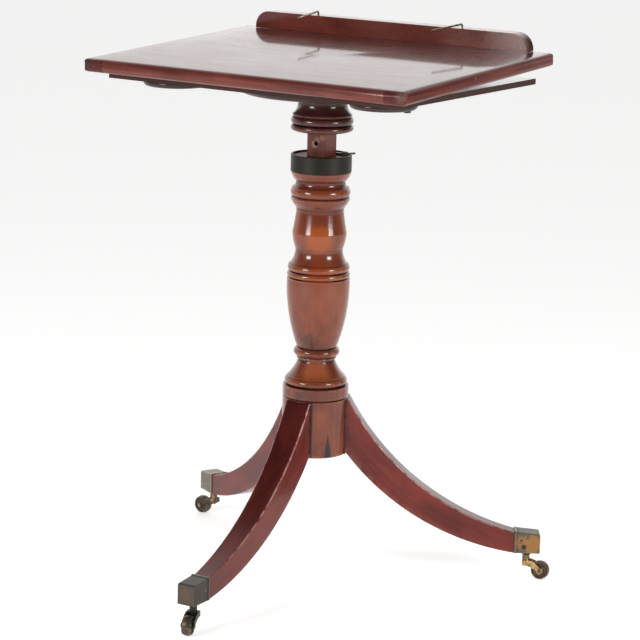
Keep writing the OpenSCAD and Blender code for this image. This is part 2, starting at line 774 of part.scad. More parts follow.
module post() {
    chamfer = 0.8;
    half = post_w / 2;
    low = z_rim - post_in;
    color(polished_mahogany)
    difference() {
        translate([0, 0, low]) linear_extrude(board_low - low)
            polygon([[-half, chamfer - half], [chamfer - half, -half], [half - chamfer, -half],
                     [half, chamfer - half], [half, half - chamfer], [half - chamfer, half],
                     [chamfer - half, half], [-half, half - chamfer]]);
        for (i = [0:peg_n - 1])
            translate([0, half + 1, z_rim + peg_top - i * peg_pitch]) rotate([90, 0, 0])
                cylinder(r = peg_r, h = post_w + 2);
    }
}

module post_mortise() {
    past = 1;
    translate([0, 0, cap_low - past])
        block(post_w + 2 * fixed, post_w + 2 * fixed, board_low - cap_low + 2 * past);
}

module capital() {
    z1 = cap_low + cap_bead_h;
    z2 = z1 + cap_bead_h + 1;
    color(dark_mahogany)
    difference() {
        turned(concat(
            [[0, cap_low], [cap_bead_r - 9, cap_low]],
            bead(cap_low + 1, z1, cap_bead_r - 4, cap_bead_r),
            bead(z1 + eps, z2, cap_bead_r - 3, cap_bead_r - 0.4),
            [[cap_bead_r - 3, z2 + 1], [cap_bead_r - 2, z2 + 2.5]],
            arc([cap_bead_r - 2, z2 + 3], [cap_neck_r + 1, z2 + 12], [cap_neck_r, z2 + 22]),
            arc([cap_neck_r, z2 + 22.5], [cap_neck_r + 0.5, (z2 + 22.5 + plate_low) / 2],
                [cap_flare_r, plate_low]),
            [[0, plate_low]]));
        post_mortise();
    }
}

module mounting_plate() {
    color(dark_mahogany)
    difference() {
        turned(concat(
            [[0, plate_low], [plate_r - plate_edge_r, plate_low]],
            arc([plate_r - plate_edge_r, plate_low],
                [plate_r - plate_edge_r * 0.29, plate_low + plate_edge_r * 0.29],
                [plate_r, plate_low + plate_edge_r]),
            [[plate_r, board_low], [0, board_low]]));
        post_mortise();
        plate_screw_places() screw_hole(plate_screw);
    }
}

module plate_screw_places() {
    beside_rack = rack_x + rack_w / 2 + plate_screw[0] + 3;
    for (y = [-1, 1]) {
        translate([0, y * plate_screw_y, board_top]) children();
        for (x = [-1, 1]) translate([x * beside_rack, y * plate_screw_y / 2, board_top]) children();
    }
}

module plate_screws() {
    color(iron) plate_screw_places() screw_solid(plate_screw);
}

module rack_place(side) {
    translate([side * rack_x, hinge_axis_y + rack_near - notch_pitch, board_top - rack_t]) children();
}

rack_l = notch_pitch * (notch_n + 1);

module under_board() {
    color(dark_mahogany)
    difference() {
        translate([-board_x, board_y0, board_low]) cube([2 * board_x, board_y1 - board_y0, board_t]);
        for (side = [-1, 1]) {
            rack_place(side) translate([-rack_w / 2 - fixed, -fixed, 0])
                cube([rack_w + 2 * fixed, rack_l + 2 * fixed, rack_t + 1]);
            translate([side * hinge_x, hinge_axis_y, hinge_z]) knuckle_room();
            translate([side * hinge_x - hinge_l / 2 - fixed, board_y0 - 1, board_top - leaf_t])
                cube([hinge_l + 2 * fixed, leaf_w + 1 + fixed, leaf_t + 1]);
        }
        plate_screw_places() screw_hole(plate_screw);
        lower_leaf_screw_places() screw_hole(leaf_screw);
        candle_pivots() translate([0, 0, board_low - 1]) cylinder(r = pivot_r + fixed, h = board_t);
    }
}

// Ratchet strip: each notch has its steep wall on the side away from the hinge
module rack(side) {
    color(mahogany)
    rack_place(side) difference() {
        translate([-rack_w / 2, 0, 0]) cube([rack_w, rack_l, rack_t]);
        for (i = [1:notch_n])
            translate([-rack_w / 2 - 1, i * notch_pitch, rack_t]) rotate([90, 0, 90])
                linear_extrude(rack_w + 2) polygon([[-notch_d * 1.7, eps], [0, -notch_d], [0, eps]]);
    }
}

// Hinges of the top: the knuckle axis lies at the under-board's front edge

module knuckle_room() {
    translate([-hinge_l / 2 - gap, 0, 0]) rotate([0, 90, 0])
        cylinder(r = knuckle_r + gap, h = hinge_l + 2 * gap);
}

// Barrel pieces along X: the middle one for the lower leaf, the outer two for the upper leaf
module barrel(l, r, middle, pin) {
    third = l / 3;
    spans = middle ? [[-third / 2 + gap / 2, third / 2 - gap / 2]]
                   : [[-l / 2, -third / 2 - gap / 2], [third / 2 + gap / 2, l / 2]];
    for (s = spans) translate([s[0], 0, 0]) rotate([0, 90, 0])
        difference() {
            cylinder(r = r, h = s[1] - s[0]);
            translate([0, 0, -1]) cylinder(r = pin, h = s[1] - s[0] + 2);
        }
}

module leaf_tongues(l, middle, w, t) {
    third = l / 3;
    spans = middle ? [[-third / 2 + gap / 2, third / 2 - gap / 2]]
                   : [[-l / 2, -third / 2 - gap / 2], [third / 2 + gap / 2, l / 2]];
    for (s = spans) translate([s[0], 0, 0]) cube([s[1] - s[0], w, t]);
}

module lower_leaf_screw_places() {
    for (side = [-1, 1]) for (end = [-1, 1])
        translate([side * hinge_x + end * hinge_l * 0.3, hinge_axis_y + leaf_w * 0.66, board_top]) children();
}

module hinge_lower(side) {
    color(old_brass)
    difference() {
        translate([side * hinge_x, 0, 0]) {
            translate([-hinge_l / 2, hinge_axis_y + knuckle_r + 2 * gap, board_top - leaf_t])
                cube([hinge_l, leaf_w - knuckle_r - 2 * gap, leaf_t]);
            translate([0, hinge_axis_y + hinge_pin_r + run, board_top - leaf_t])
                leaf_tongues(hinge_l, true, knuckle_r + 2, leaf_t);
            translate([0, hinge_axis_y, hinge_z]) barrel(hinge_l, knuckle_r, true, hinge_pin_r + fixed / 2);
        }
        lower_leaf_screw_places() screw_hole(leaf_screw);
    }
}

module hinge_pins() {
    color(old_brass)
    for (side = [-1, 1])
        translate([side * hinge_x - hinge_l / 2, hinge_axis_y, hinge_z]) rotate([0, 90, 0])
            cylinder(r = hinge_pin_r, h = hinge_l);
}

module lower_leaf_screws() {
    color(old_brass) lower_leaf_screw_places() screw_solid(leaf_screw);
}

// The top's own frame: hinge axis at the origin, depth along +Y, underside just over z = 0
module top_frame() {
    translate([0, hinge_axis_y, hinge_z]) rotate([rest_tilt, 0, 0]) children();
}

top_low = gap;

module upper_leaf_screw_places() {
    for (side = [-1, 1]) for (end = [-1, 1])
        translate([side * hinge_x + end * hinge_l * 0.3, leaf_w * 0.66, top_low])
            rotate([180, 0, 0]) children();
}

module hinge_upper(side) {
    color(old_brass)
    top_frame() difference() {
        translate([side * hinge_x, 0, 0]) {
            translate([-hinge_l / 2, knuckle_r + 2 * gap, top_low])
                cube([hinge_l, leaf_w - knuckle_r - 2 * gap, leaf_t]);
            translate([0, hinge_pin_r + 2 * run, top_low])
                leaf_tongues(hinge_l, false, knuckle_r + 2, leaf_t);
            barrel(hinge_l, knuckle_r, false, hinge_pin_r + run);
        }
        upper_leaf_screw_places() screw_hole(leaf_screw);
    }
}

module upper_leaf_screws() {
    color(old_brass) top_frame() upper_leaf_screw_places() screw_solid(leaf_screw);
}

// Top: panel and clamped ends cut from one rounded slab

module rounded_edge_section(l) {
    high = top_low + top_t;
    r = min(top_edge_r, top_t / 2 - 0.5);
    k = r * 0.29;
    polygon(concat(
        arc([r, top_low], [k, top_low + k], [0, top_low + r]),
        arc([0, high - r], [k, high - k], [r, high]),
        arc([l - r, high], [l - k, high - k], [l, high - r]),
        arc([l, top_low + r], [l - k, top_low + k], [l - r, top_low])));
}

module top_slab() {
    intersection() {
        translate([-top_w, top_front, 0]) rotate([90, 0, 90]) linear_extrude(2 * top_w)
            rounded_edge_section(top_d);
        translate([-top_w / 2, top_back + 1, 0]) rotate([90, 0, 0]) linear_extrude(top_d + 2)
            rounded_edge_section(top_w);
        translate([0, top_front + top_d / 2, top_low - 1]) linear_extrude(top_t + 2)
            rounded_plan(top_w, top_d, top_corner_r);
    }
}

module rounded_plan(w, d, r) {
    square([w - 2 * r, d], center = true);
    square([w, d - 2 * r], center = true);
    for (x = [-1, 1]) for (y = [-1, 1]) translate([x * (w / 2 - r), y * (d / 2 - r)]) circle(r = r);
}

panel_x = top_w / 2 - end_w;

module tongues(spare) {
    for (side = [-1, 1])
        translate([side > 0 ? panel_x - 1 : -panel_x - tongue_l - spare,
                   top_front + end_w, top_low + (top_t - tongue_t) / 2 - spare])
            cube([tongue_l + 1 + spare, top_d - 2 * end_w, tongue_t + 2 * spare]);
}

module top_panel() {
    color(polished_mahogany)
    top_frame() difference() {
        union() {
            intersection() {
                top_slab();
                translate([-panel_x, top_front - 1, -1]) cube([2 * panel_x, top_d + 2, top_t + 3]);
            }
            tongues(0);
        }
        for (side = [-1, 1]) {
            translate([side * hinge_x, 0, 0]) knuckle_room();
            translate([side * hinge_x - hinge_l / 2 - fixed, 0, top_low - 1])
                cube([hinge_l + 2 * fixed, leaf_w + fixed, leaf_t + 1 + fixed]);
            translate([side * strut_hinge_x, strut_l, 0]) rotate([0, 90, 0])
                translate([0, 0, -strut_hinge_l / 2 - gap])
                    cylinder(r = strut_knuckle_r + gap, h = strut_hinge_l + 2 * gap);
            translate([side * strut_hinge_x - strut_hinge_l / 2 - fixed, strut_l - leaf_w - fixed, top_low - 1])
                cube([strut_hinge_l + 2 * fixed, leaf_w + fixed, leaf_t + 1 + fixed]);
            translate([side * dowel_x, ledge_mid, top_low + top_t - dowel_in_top - gap])
                cylinder(r = dowel_r + run, h = dowel_in_top + 2);
        }
        upper_leaf_screw_places() screw_hole(leaf_screw);
        strut_top_screw_places() screw_hole(leaf_screw);
    }
}

module top_end(side) {
    color(mahogany)
    top_frame() difference() {
        intersection() {
            top_slab();
            translate([side > 0 ? panel_x : -panel_x - end_w - 1, top_front - 1, -1])
                cube([end_w + 1, top_d + 2, top_t + 3]);
        }
        tongues(fixed);
    }
}

// Strut: flat on the under-board at rest, pivoted on the top's underside.
// It is as long as its hinge is far from the top's hinge, so its foot stays on the racks as the top tilts.

strut_pivot = [hinge_axis_y + strut_l * cos(rest_tilt), hinge_z + strut_l * sin(rest_tilt)];
strut_tip_y = hinge_axis_y + 2 * strut_l * cos(rest_tilt);
strut_root_y = strut_pivot.x + strut_knuckle_r + 2 * gap;
strut_low = hinge_z;

module strut() {
    color(mahogany)
    difference() {
        translate([-strut_w / 2, 0, 0]) rotate([90, 0, 90]) linear_extrude(strut_w)
            polygon([[strut_root_y, strut_low], [strut_tip_y, strut_low],
                     [strut_tip_y - 5, strut_low + strut_t], [strut_root_y, strut_low + strut_t]]);
        for (side = [-1, 1])
            translate([side * strut_hinge_x - strut_hinge_l / 2 - fixed, strut_root_y - 1,
                       strut_low + strut_t - leaf_t])
                cube([strut_hinge_l + 2 * fixed, leaf_w - strut_knuckle_r + 1, leaf_t + 1]);
        strut_foot_screw_places() screw_hole(strut_screw);
    }
}

strut_screw = [2.6, 1.2, 1.3, 5];

module strut_foot_screw_places() {
    for (side = [-1, 1]) for (end = [-1, 1])
        translate([side * strut_hinge_x + end * strut_hinge_l * 0.3, strut_root_y + leaf_w * 0.5,
                   strut_low + strut_t]) children();
}

module strut_leaf_foot() {
    top_z = strut_low + strut_t;
    neck_y = 0.5;
    color(old_brass)
    difference() {
        for (side = [-1, 1]) translate([side * strut_hinge_x, 0, 0]) {
            translate([-strut_hinge_l / 2, strut_root_y, top_z - leaf_t])
                cube([strut_hinge_l, leaf_w - strut_knuckle_r - 2 * gap, leaf_t]);
            translate([0, strut_pivot.x + neck_y, top_z - leaf_t])
                leaf_tongues(strut_hinge_l, true, strut_root_y - strut_pivot.x + 0.6, leaf_t);
            translate([0, strut_pivot.x, strut_pivot.y])
                barrel(strut_hinge_l, strut_knuckle_r, true, hinge_pin_r + fixed / 2);
            translate([0, strut_pivot.x + neck_y, top_z - leaf_t])
                leaf_tongues(strut_hinge_l, true, 1.6, strut_pivot.y - top_z + leaf_t - hinge_pin_r - 0.4);
        }
        strut_foot_screw_places() screw_hole(strut_screw);
    }
}

module strut_pins() {
    color(old_brass)
    for (side = [-1, 1])
        translate([side * strut_hinge_x - strut_hinge_l / 2, strut_pivot.x, strut_pivot.y]) rotate([0, 90, 0])
            cylinder(r = hinge_pin_r, h = strut_hinge_l);
}

module strut_foot_screws() {
    color(old_brass) strut_foot_screw_places() screw_solid(strut_screw);
}

module strut_top_screw_places() {
    for (side = [-1, 1]) for (end = [-1, 1])
        translate([side * strut_hinge_x + end * strut_hinge_l * 0.3, strut_l - leaf_w * 0.62, top_low])
            rotate([180, 0, 0]) children();
}

module strut_leaf_top() {
    color(old_brass)
    top_frame() difference() {
        for (side = [-1, 1]) translate([side * strut_hinge_x, strut_l, 0]) {
            translate([-strut_hinge_l / 2, -leaf_w, top_low])
                cube([strut_hinge_l, leaf_w - strut_knuckle_r - 2 * gap, leaf_t]);
            translate([0, -strut_knuckle_r - 3, top_low])
                leaf_tongues(strut_hinge_l, false, strut_knuckle_r + 3 - hinge_pin_r - 2 * run, leaf_t);
            barrel(strut_hinge_l, strut_knuckle_r, false, hinge_pin_r + run);
        }
        strut_top_screw_places() screw_hole(leaf_screw);
    }
}

module strut_top_screws() {
    color(old_brass) top_frame() strut_top_screw_places() screw_solid(leaf_screw);
}

// Ledge and page holders, in the top's frame

ledge_low = top_low + top_t + gap;
ledge_mid = top_back - ledge_back - ledge_t / 2;
holder_y = ledge_mid - holder_off;

module ledge() {
    half = ledge_l / 2;
    end_h = min(ledge_end_r, ledge_h - 2);
    k = 0.29;
    color(polished_mahogany)
    top_frame() difference() {
        translate([0, ledge_mid + ledge_t / 2, ledge_low]) rotate([90, 0, 0]) linear_extrude(ledge_t)
            polygon(concat(
                [[-half, 0], [half, 0]],
                arc([half, ledge_h - end_h], [half - ledge_end_r * k, ledge_h - end_h * k],
                    [half - ledge_end_r, ledge_h]),
                arc([-half + ledge_end_r, ledge_h], [-half + ledge_end_r * k, ledge_h - end_h * k],
                    [-half, ledge_h - end_h])));
        for (side = [-1, 1]) {
            translate([side * dowel_x, ledge_mid, ledge_low - 1])
                cylinder(r = dowel_r + fixed, h = dowel_in_ledge + 1 + fixed);
            translate([side * holder_x, holder_y, ledge_low + ledge_h - bush_l - fixed])
                cylinder(r = bush_r + fixed, h = bush_l + 1);
        }
    }
}

module ledge_dowels() {
    color(mahogany)
    top_frame() for (side = [-1, 1])
        translate([side * dowel_x, ledge_mid, ledge_low + dowel_in_ledge]) mirror([0, 0, 1])
            cylinder(r = dowel_r, h = dowel_in_ledge + gap + dowel_in_top);
}

module holder_bushes() {
    color(bright_brass)
    top_frame() for (side = [-1, 1])
        translate([side * holder_x, holder_y, ledge_low + ledge_h - bush_l]) difference() {
            cylinder(r = bush_r, h = bush_l);
            translate([0, 0, 1]) cylinder(r = wire_r + run, h = bush_l);
        }
}

// Bent wire: a stub in the bush, a round elbow and an arm out over the page
module page_holder(side, turn) {
    bend = 3 * wire_r;
    stub = bush_l - 1 - gap + arm_rise - bend;
    color(bright_brass)
    top_frame() translate([side * holder_x, holder_y, ledge_low + ledge_h - bush_l + 1 + gap]) rotate(turn) {
        cylinder(r = wire_r, h = stub, $fn = 32);
        translate([0, -bend, stub]) rotate([90, 0, 90])
            rotate_extrude(angle = 90, $fn = 32) translate([bend, 0]) circle(r = wire_r, $fn = 32);
        translate([0, -bend, stub + bend]) rotate([90, 0, 0]) cylinder(r = wire_r, h = arm_l - bend, $fn = 32);
        translate([0, -arm_l, stub + bend]) sphere(r = wire_r * 1.15, $fn = 32);
    }
}

// Candle stands: turned discs, each on a screw near its outer rim

module candle_pivots() {
    for (side = [-1, 1]) translate([side * (candle_x + pivot_off), candle_y, 0]) children();
}

module candle_stand(side) {
    high = board_low - gap;
    low = high - candle_t;
    nose = candle_t / 2 - 1;
    color(dark_mahogany)
    difference() {
        translate([side * candle_x, candle_y, 0])
            turned(concat(
                [[0, low], [candle_r - nose, low]],
                arc([candle_r - nose, low], [candle_r, low + candle_t / 2], [candle_r - nose, high]),
                [[candle_r - dish_rim, high], [candle_r - dish_rim - 1, high - dish_d], [0, high - dish_d]]));
        translate([side * (candle_x + pivot_off), candle_y, low - 1])
            cylinder(r = pivot_r + run, h = candle_t + 2);
    }
}

module candle_screws() {
    head_r = pivot_r + 2;
    head_h = 2;
    low = board_low - 2 * gap - candle_t;
    color(old_brass)
    candle_pivots() difference() {
        union() {
            translate([0, 0, low]) cylinder(r = pivot_r, h = board_low + board_t - 2 - low);
            translate([0, 0, low - head_h]) cylinder(r = head_r, h = head_h);
        }
        translate([-head_r - 1, -0.6, low - head_h - 1]) cube([2 * head_r + 2, 1.2, 1.8]);
    }
}

column();
collar();
rotate(leg_dirs[0]) leg();  // leg_front
rotate(leg_dirs[1]) leg();  // leg_right
rotate(leg_dirs[2]) leg();  // leg_left
rotate(leg_dirs[0]) brass_cap();  // cap_front
rotate(leg_dirs[1]) brass_cap();  // cap_right
rotate(leg_dirs[2]) brass_cap();  // cap_left
cap_screws();
brace_plate();
brace_screws();
catch_lever();
catch_screw();
catch_spring();
at_castor(0) horn();  // horn_front
at_castor(1) horn();  // horn_right
at_castor(2) horn();  // horn_left
at_castor(0) axle();  // axle_front
at_castor(1) axle();  // axle_right
at_castor(2) axle();  // axle_left
at_castor(0) wheel();  // wheel_front
at_castor(1) wheel();  // wheel_right
at_castor(2) wheel();  // wheel_left
post();
capital();
mounting_plate();
under_board();
plate_screws();
rack(-1);  // rack_left
rack(1);  // rack_right
hinge_lower(-1);  // hinge_lower_left
hinge_lower(1);  // hinge_lower_right
hinge_upper(-1);  // hinge_upper_left
hinge_upper(1);  // hinge_upper_right
hinge_pins();
lower_leaf_screws();
upper_leaf_screws();
top_panel();
top_end(-1);  // top_end_left
top_end(1);  // top_end_right
strut();
strut_leaf_top();
strut_leaf_foot();
strut_pins();
strut_top_screws();
strut_foot_screws();
ledge();
ledge_dowels();
holder_bushes();
page_holder(-1, left_arm_turn);  // page_holder_left
page_holder(1, right_arm_turn);  // page_holder_right
candle_stand(-1);  // candle_stand_left
candle_stand(1);  // candle_stand_right
candle_screws();
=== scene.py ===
# Adjustable mahogany book stand on a turned column with three sabre legs, brass caps and castors.
import json
import math

import bmesh
import bpy
from mathutils import Matrix, Vector


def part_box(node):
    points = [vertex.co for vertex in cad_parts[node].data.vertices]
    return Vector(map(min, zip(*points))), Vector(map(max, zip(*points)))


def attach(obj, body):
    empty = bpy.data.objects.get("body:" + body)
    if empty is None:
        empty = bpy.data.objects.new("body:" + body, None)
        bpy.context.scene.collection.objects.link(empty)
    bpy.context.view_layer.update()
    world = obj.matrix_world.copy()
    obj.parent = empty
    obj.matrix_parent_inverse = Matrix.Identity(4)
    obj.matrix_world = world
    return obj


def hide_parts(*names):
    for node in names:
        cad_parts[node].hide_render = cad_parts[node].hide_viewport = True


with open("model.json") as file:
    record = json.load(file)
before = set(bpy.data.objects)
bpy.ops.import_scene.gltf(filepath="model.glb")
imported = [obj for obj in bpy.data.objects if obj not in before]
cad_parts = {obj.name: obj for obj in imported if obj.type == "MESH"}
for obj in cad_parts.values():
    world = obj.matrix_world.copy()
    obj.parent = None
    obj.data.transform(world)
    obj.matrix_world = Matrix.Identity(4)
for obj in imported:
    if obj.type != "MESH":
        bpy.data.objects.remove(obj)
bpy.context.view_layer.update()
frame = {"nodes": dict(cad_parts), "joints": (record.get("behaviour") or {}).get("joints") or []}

# Room and camera
# A pale floor and a pale room, lit mostly by a wide backdrop behind the stand and by a broad soft light to
# each side. The camera is off the right end of the hinge edge, a little above the top.
scene = bpy.context.scene
scene.view_settings.view_transform = "Standard"
camera_place = Vector((2.00478, -3.04743, 1.18765))
camera_heading = math.radians(33.277)
camera_dip = math.radians(12.404)
camera_roll = math.radians(1.471)
ahead = Vector((-math.sin(camera_heading) * math.cos(camera_dip),
                math.cos(camera_heading) * math.cos(camera_dip), -math.sin(camera_dip)))
level_right = ahead.cross(Vector((0.0, 0.0, 1.0))).normalized()
level_up = level_right.cross(ahead)
image_right = math.cos(camera_roll) * level_right + math.sin(camera_roll) * level_up
image_up = math.cos(camera_roll) * level_up - math.sin(camera_roll) * level_right
camera_data = bpy.data.cameras.new("camera")
camera_data.sensor_width = 36.0
camera_data.lens = 143.47
camera = bpy.data.objects.new("camera", camera_data)
scene.collection.objects.link(camera)
camera.matrix_world = (Matrix.Translation(camera_place)
                       @ Matrix((image_right, image_up, -ahead)).transposed().to_4x4())
scene.camera = camera


def feed(tree, node, inputs):
    """Each named input of a node gets a value, or another node's output."""
    for key, value in inputs.items():
        if isinstance(value, bpy.types.NodeSocket):
            tree.links.new(value, node.inputs[key])
        else:
            node.inputs[key].default_value = value


def put(tree, kind, inputs, **settings):
    """A node in a tree, with its settings and its inputs."""
    node = tree.nodes.new(kind)
    for key, value in settings.items():
        setattr(node, key, value)
    feed(tree, node, inputs)
    return node


def spread(tree, value, low, high, to_low=0.0, to_high=1.0, way="SMOOTHSTEP"):
    """A value carried from one range to another."""
    return put(tree, "ShaderNodeMapRange", {
        "Value": value, "From Min": low, "From Max": high, "To Min": to_low, "To Max": to_high},
        interpolation_type=way).outputs[0]


room = bpy.data.worlds.new("white_room")
room.use_nodes = True
room_tree = room.node_tree
room_way = put(room_tree, "ShaderNodeTexCoord", {}).outputs["Generated"]
backdrop_way = math.radians(131)
dim_side, bright_side, seen_side = 0.14, 1.4, 1.0
backdrop = (math.cos(backdrop_way), math.sin(backdrop_way), 0.0)
room_depth = put(room_tree, "ShaderNodeVectorMath", {0: room_way, 1: backdrop},
                 operation="DOT_PRODUCT").outputs["Value"]
room_fade = spread(room_tree, room_depth, 0.25, 0.75, dim_side, bright_side)
looked_at = put(room_tree, "ShaderNodeLightPath", {}).outputs["Is Camera Ray"]
room_seen = put(room_tree, "ShaderNodeMix", {0: looked_at, 2: room_fade, 3: seen_side}).outputs[0]
feed(room_tree, room_tree.nodes["Background"], {"Color": (1.0, 0.99, 0.98, 1.0), "Strength": room_seen})
scene.world = room


def new_finish(name):
    """An empty finish, with its tree and its shader."""
    finish = bpy.data.materials.new(name)
    finish.use_nodes = True
    return finish, finish.node_tree, finish.node_tree.nodes["Principled BSDF"]


bpy.ops.mesh.primitive_plane_add(size=60.0)
floor = bpy.context.object
floor.name = "pale_floor"
floor_paint, floor_tree, floor_shader = new_finish("pale_floor")
feed(floor_tree, floor_shader, {
    "Base Color": (0.95, 0.95, 0.95, 1.0), "Roughness": 0.95, "Specular IOR Level": 0.1,
    "Emission Color": (1.0, 1.0, 1.0, 1.0), "Emission Strength": 0.5})
floor.data.materials.append(floor_paint)


def facing(place, way):
    """Where a thing stands, with its Z turned along a way."""
    return Matrix.Translation(place) @ way.to_track_quat("Z", "Y").to_matrix().to_4x4()


camera_side = math.atan2(camera_place.y, camera_place.x)
light_aim = Vector((0.0, 0.0, 0.5))
light_reach = 2.6
light_rise = math.radians(14)
for name, swing in (("left_soft_light", -50), ("right_soft_light", 50)):
    bearing = camera_side + math.radians(swing)
    toward = Vector((math.cos(bearing) * math.cos(light_rise), math.sin(bearing) * math.cos(light_rise),
                     math.sin(light_rise)))
    lamp = bpy.data.lights.new(name, "AREA")
    lamp.shape = "RECTANGLE"
    lamp.size = 0.82
    lamp.size_y = 0.56
    lamp.energy = 33.5
    lamp_object = bpy.data.objects.new(name, lamp)
    lamp_object.visible_camera = False
    lamp_object.matrix_world = facing(light_aim + light_reach * toward, toward)
    scene.collection.objects.link(lamp_object)

# Column
# One baluster of solid mahogany, turned between centres: a drum for the legs, a bell, a vase and a swell,
# with beads and quirks between. It is bored square for the post and was French polished on the lathe.
mm = 0.001


def circle_through(a, b, c):
    """Centre and radius of the circle through three points of a plane."""
    d = 2 * (a[0] * (b[1] - c[1]) + b[0] * (c[1] - a[1]) + c[0] * (a[1] - b[1]))
    aa, bb, cc = (p[0] ** 2 + p[1] ** 2 for p in (a, b, c))
    x = (aa * (b[1] - c[1]) + bb * (c[1] - a[1]) + cc * (a[1] - b[1])) / d
    y = (aa * (c[0] - b[0]) + bb * (a[0] - c[0]) + cc * (b[0] - a[0])) / d
    return x, y, math.hypot(a[0] - x, a[1] - y)


def arc(a, b, c, steps=18):
    """Points of the arc from a through b to c."""
    x, y, r = circle_through(a, b, c)
    start = math.atan2(a[1] - y, a[0] - x)
    end = math.atan2(c[1] - y, c[0] - x)
    turns_left = (b[0] - a[0]) * (c[1] - a[1]) - (b[1] - a[1]) * (c[0] - a[0]) > 0
    sweep = (end - start) % math.tau if turns_left else -((start - end) % math.tau)
    return [(x + r * math.cos(start + sweep * i / steps), y + r * math.sin(start + sweep * i / steps))
            for i in range(steps + 1)]


def bead(low, high, edge_r, full_r):
    """Half-round moulding between two heights."""
    return arc((edge_r, low), (full_r, (low + high) / 2), (edge_r, high))


def cove(low, low_r, high, high_r, mid_r):
    """Hollow or long curve between two heights, bowed by its middle radius."""
    return arc((low_r, low), (mid_r, (low + high) / 2), (high_r, high))


def keep_marks(mesh, marks, of="POINT"):
    """Wear, dirt, painted shade and painted highlight of each point, or a mark of each face, which the
    finishes read.
    """
    for name, values in marks.items():
        mesh.attributes.new(name, "FLOAT", of).data.foreach_set("value", values)


def finished(name, made, sharp=35.0, turn=0.0):
    """A mesh becomes an object: turned about the column's axis, faces outward, sharp edges kept."""
    if turn:
        about_axis = Matrix.Rotation(math.radians(turn), 3, "Z")
        bmesh.ops.rotate(made, verts=made.verts, cent=(0, 0, 0), matrix=about_axis)
    bmesh.ops.recalc_face_normals(made, faces=made.faces)
    mesh = bpy.data.meshes.new(name)
    made.to_mesh(mesh)
    made.free()
    mesh.shade_smooth()
    mesh.set_sharp_from_angle(angle=math.radians(sharp))
    piece = bpy.data.objects.new(name, mesh)
    scene.collection.objects.link(piece)
    return piece


def ride_for(piece, node, body, finish):
    """A piece takes a node's place on its body, with its finish."""
    piece.data.materials.clear()
    piece.data.materials.append(finish)
    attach(piece, body)
    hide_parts(node)


def close_spaced(profile, step):
    """The profile with its long stretches cut into short ones, so that marks have room."""
    points = [profile[0]]
    for a, b in zip(profile, profile[1:]):
        parts = max(1, math.ceil(math.dist(a, b) / step))
        points += [(a[0] + (b[0] - a[0]) * i / parts, a[1] + (b[1] - a[1]) * i / parts)
                   for i in range(1, parts + 1)]
    return [p for i, p in enumerate(points) if i == 0 or math.dist(p, points[i - 1]) > 1e-4]


def hollows_and_arrises(points, reach=3.4, full=0.42):
    """How deep each point of a profile lies in a hollow, and how far it stands out on an arris."""
    window = 12
    hollows, arrises = [], []
    for i, (r, z) in enumerate(points):
        near = [p for p in points[max(0, i - window):i + window + 1] if math.dist(p, (r, z)) <= reach]
        mean = (sum(p[0] for p in near) / len(near), sum(p[1] for p in near) / len(near))
        before, after = points[max(0, i - 1)], points[min(len(points) - 1, i + 1)]
        along = (after[0] - before[0], after[1] - before[1])
        length = math.hypot(*along) or 1.0
        out = ((mean[0] - r) * along[1] - (mean[1] - z) * along[0]) / length
        hollows.append(min(1.0, max(0.0, out / full)))
        arrises.append(min(1.0, max(0.0, -out / full)))
    return hollows, arrises


def ring_marks(points, around, plain=0, **limits):
    """The hollows and arrises of a profile for each point of its rings, and for some plain points more."""
    return {name: [m for m in marks for _ in range(around)] + [0.0] * plain
            for name, marks in zip(("hollow", "arris"), hollows_and_arrises(points, **limits))}


def hoop(made, r, z, around, lay=Matrix()):
    """A ring of points, in mm, laid where a matrix has it."""
    angles = [math.tau * k / around for k in range(around)]
    ring = [Vector((r * mm * math.cos(a), r * mm * math.sin(a), z * mm)) for a in angles]
    return [made.verts.new(lay @ point) for point in ring]


def skinned(made, pairs):
    """Faces all round between each pair of rings."""
    for a, b in pairs:
        for k in range(len(a)):
            made.faces.new((a[k - 1], a[k], b[k], b[k - 1]))


def turned(name, profile, socket, socket_low=None):
    """A piece turned to a profile of (radius, height), in mm, with a square socket down from its top.
    The socket goes right through where no lower end is given."""
    around, step = 96, 0.9
    points = close_spaced(profile, step)
    made = bmesh.new()
    rings = [hoop(made, r, z, around) for r, z in points]
    skinned(made, zip(rings[1:], rings))
    corners = [(x * socket / 2 * mm, y * socket / 2 * mm) for x, y in ((1, 1), (-1, 1), (-1, -1), (1, -1))]
    low_z = points[0][1] if socket_low is None else socket_low
    squares = [[made.verts.new((x, y, z * mm)) for x, y in corners] for z in (low_z, points[-1][1])]
    for ring, square, blind in zip((rings[0], rings[-1]), squares, (socket_low is not None, False)):
        if blind:
            made.faces.new(ring)
            made.faces.new(square)
            continue
        edges = [made.edges.get((ring[k - 1], ring[k])) for k in range(around)]
        edges += [made.edges.new((square[k - 1], square[k])) for k in range(4)]
        bmesh.ops.triangle_fill(made, use_beauty=True, edges=edges)
    skinned(made, [squares])
    piece = finished(name, made)
    keep_marks(piece.data, ring_marks(points, around, plain=8))
    cut_across = [float(abs(face.normal.z) > 0.99) for face in piece.data.polygons]
    keep_marks(piece.data, {"end": cut_across}, "FACE")
    return piece


def new_tree(name, inputs, outputs, kind="ShaderNodeTree"):
    """An empty tree with its sockets, which are listed by kind, and its input and output nodes."""
    tree = bpy.data.node_groups.new(name, kind)
    for way, sockets in (("INPUT", inputs), ("OUTPUT", outputs)):
        for what, names in sockets.items():
            for socket in names.split(", "):
                tree.interface.new_socket(name=socket, in_out=way, socket_type="NodeSocket" + what)
    return tree, tree.nodes.new("NodeGroupInput").outputs, tree.nodes.new("NodeGroupOutput")


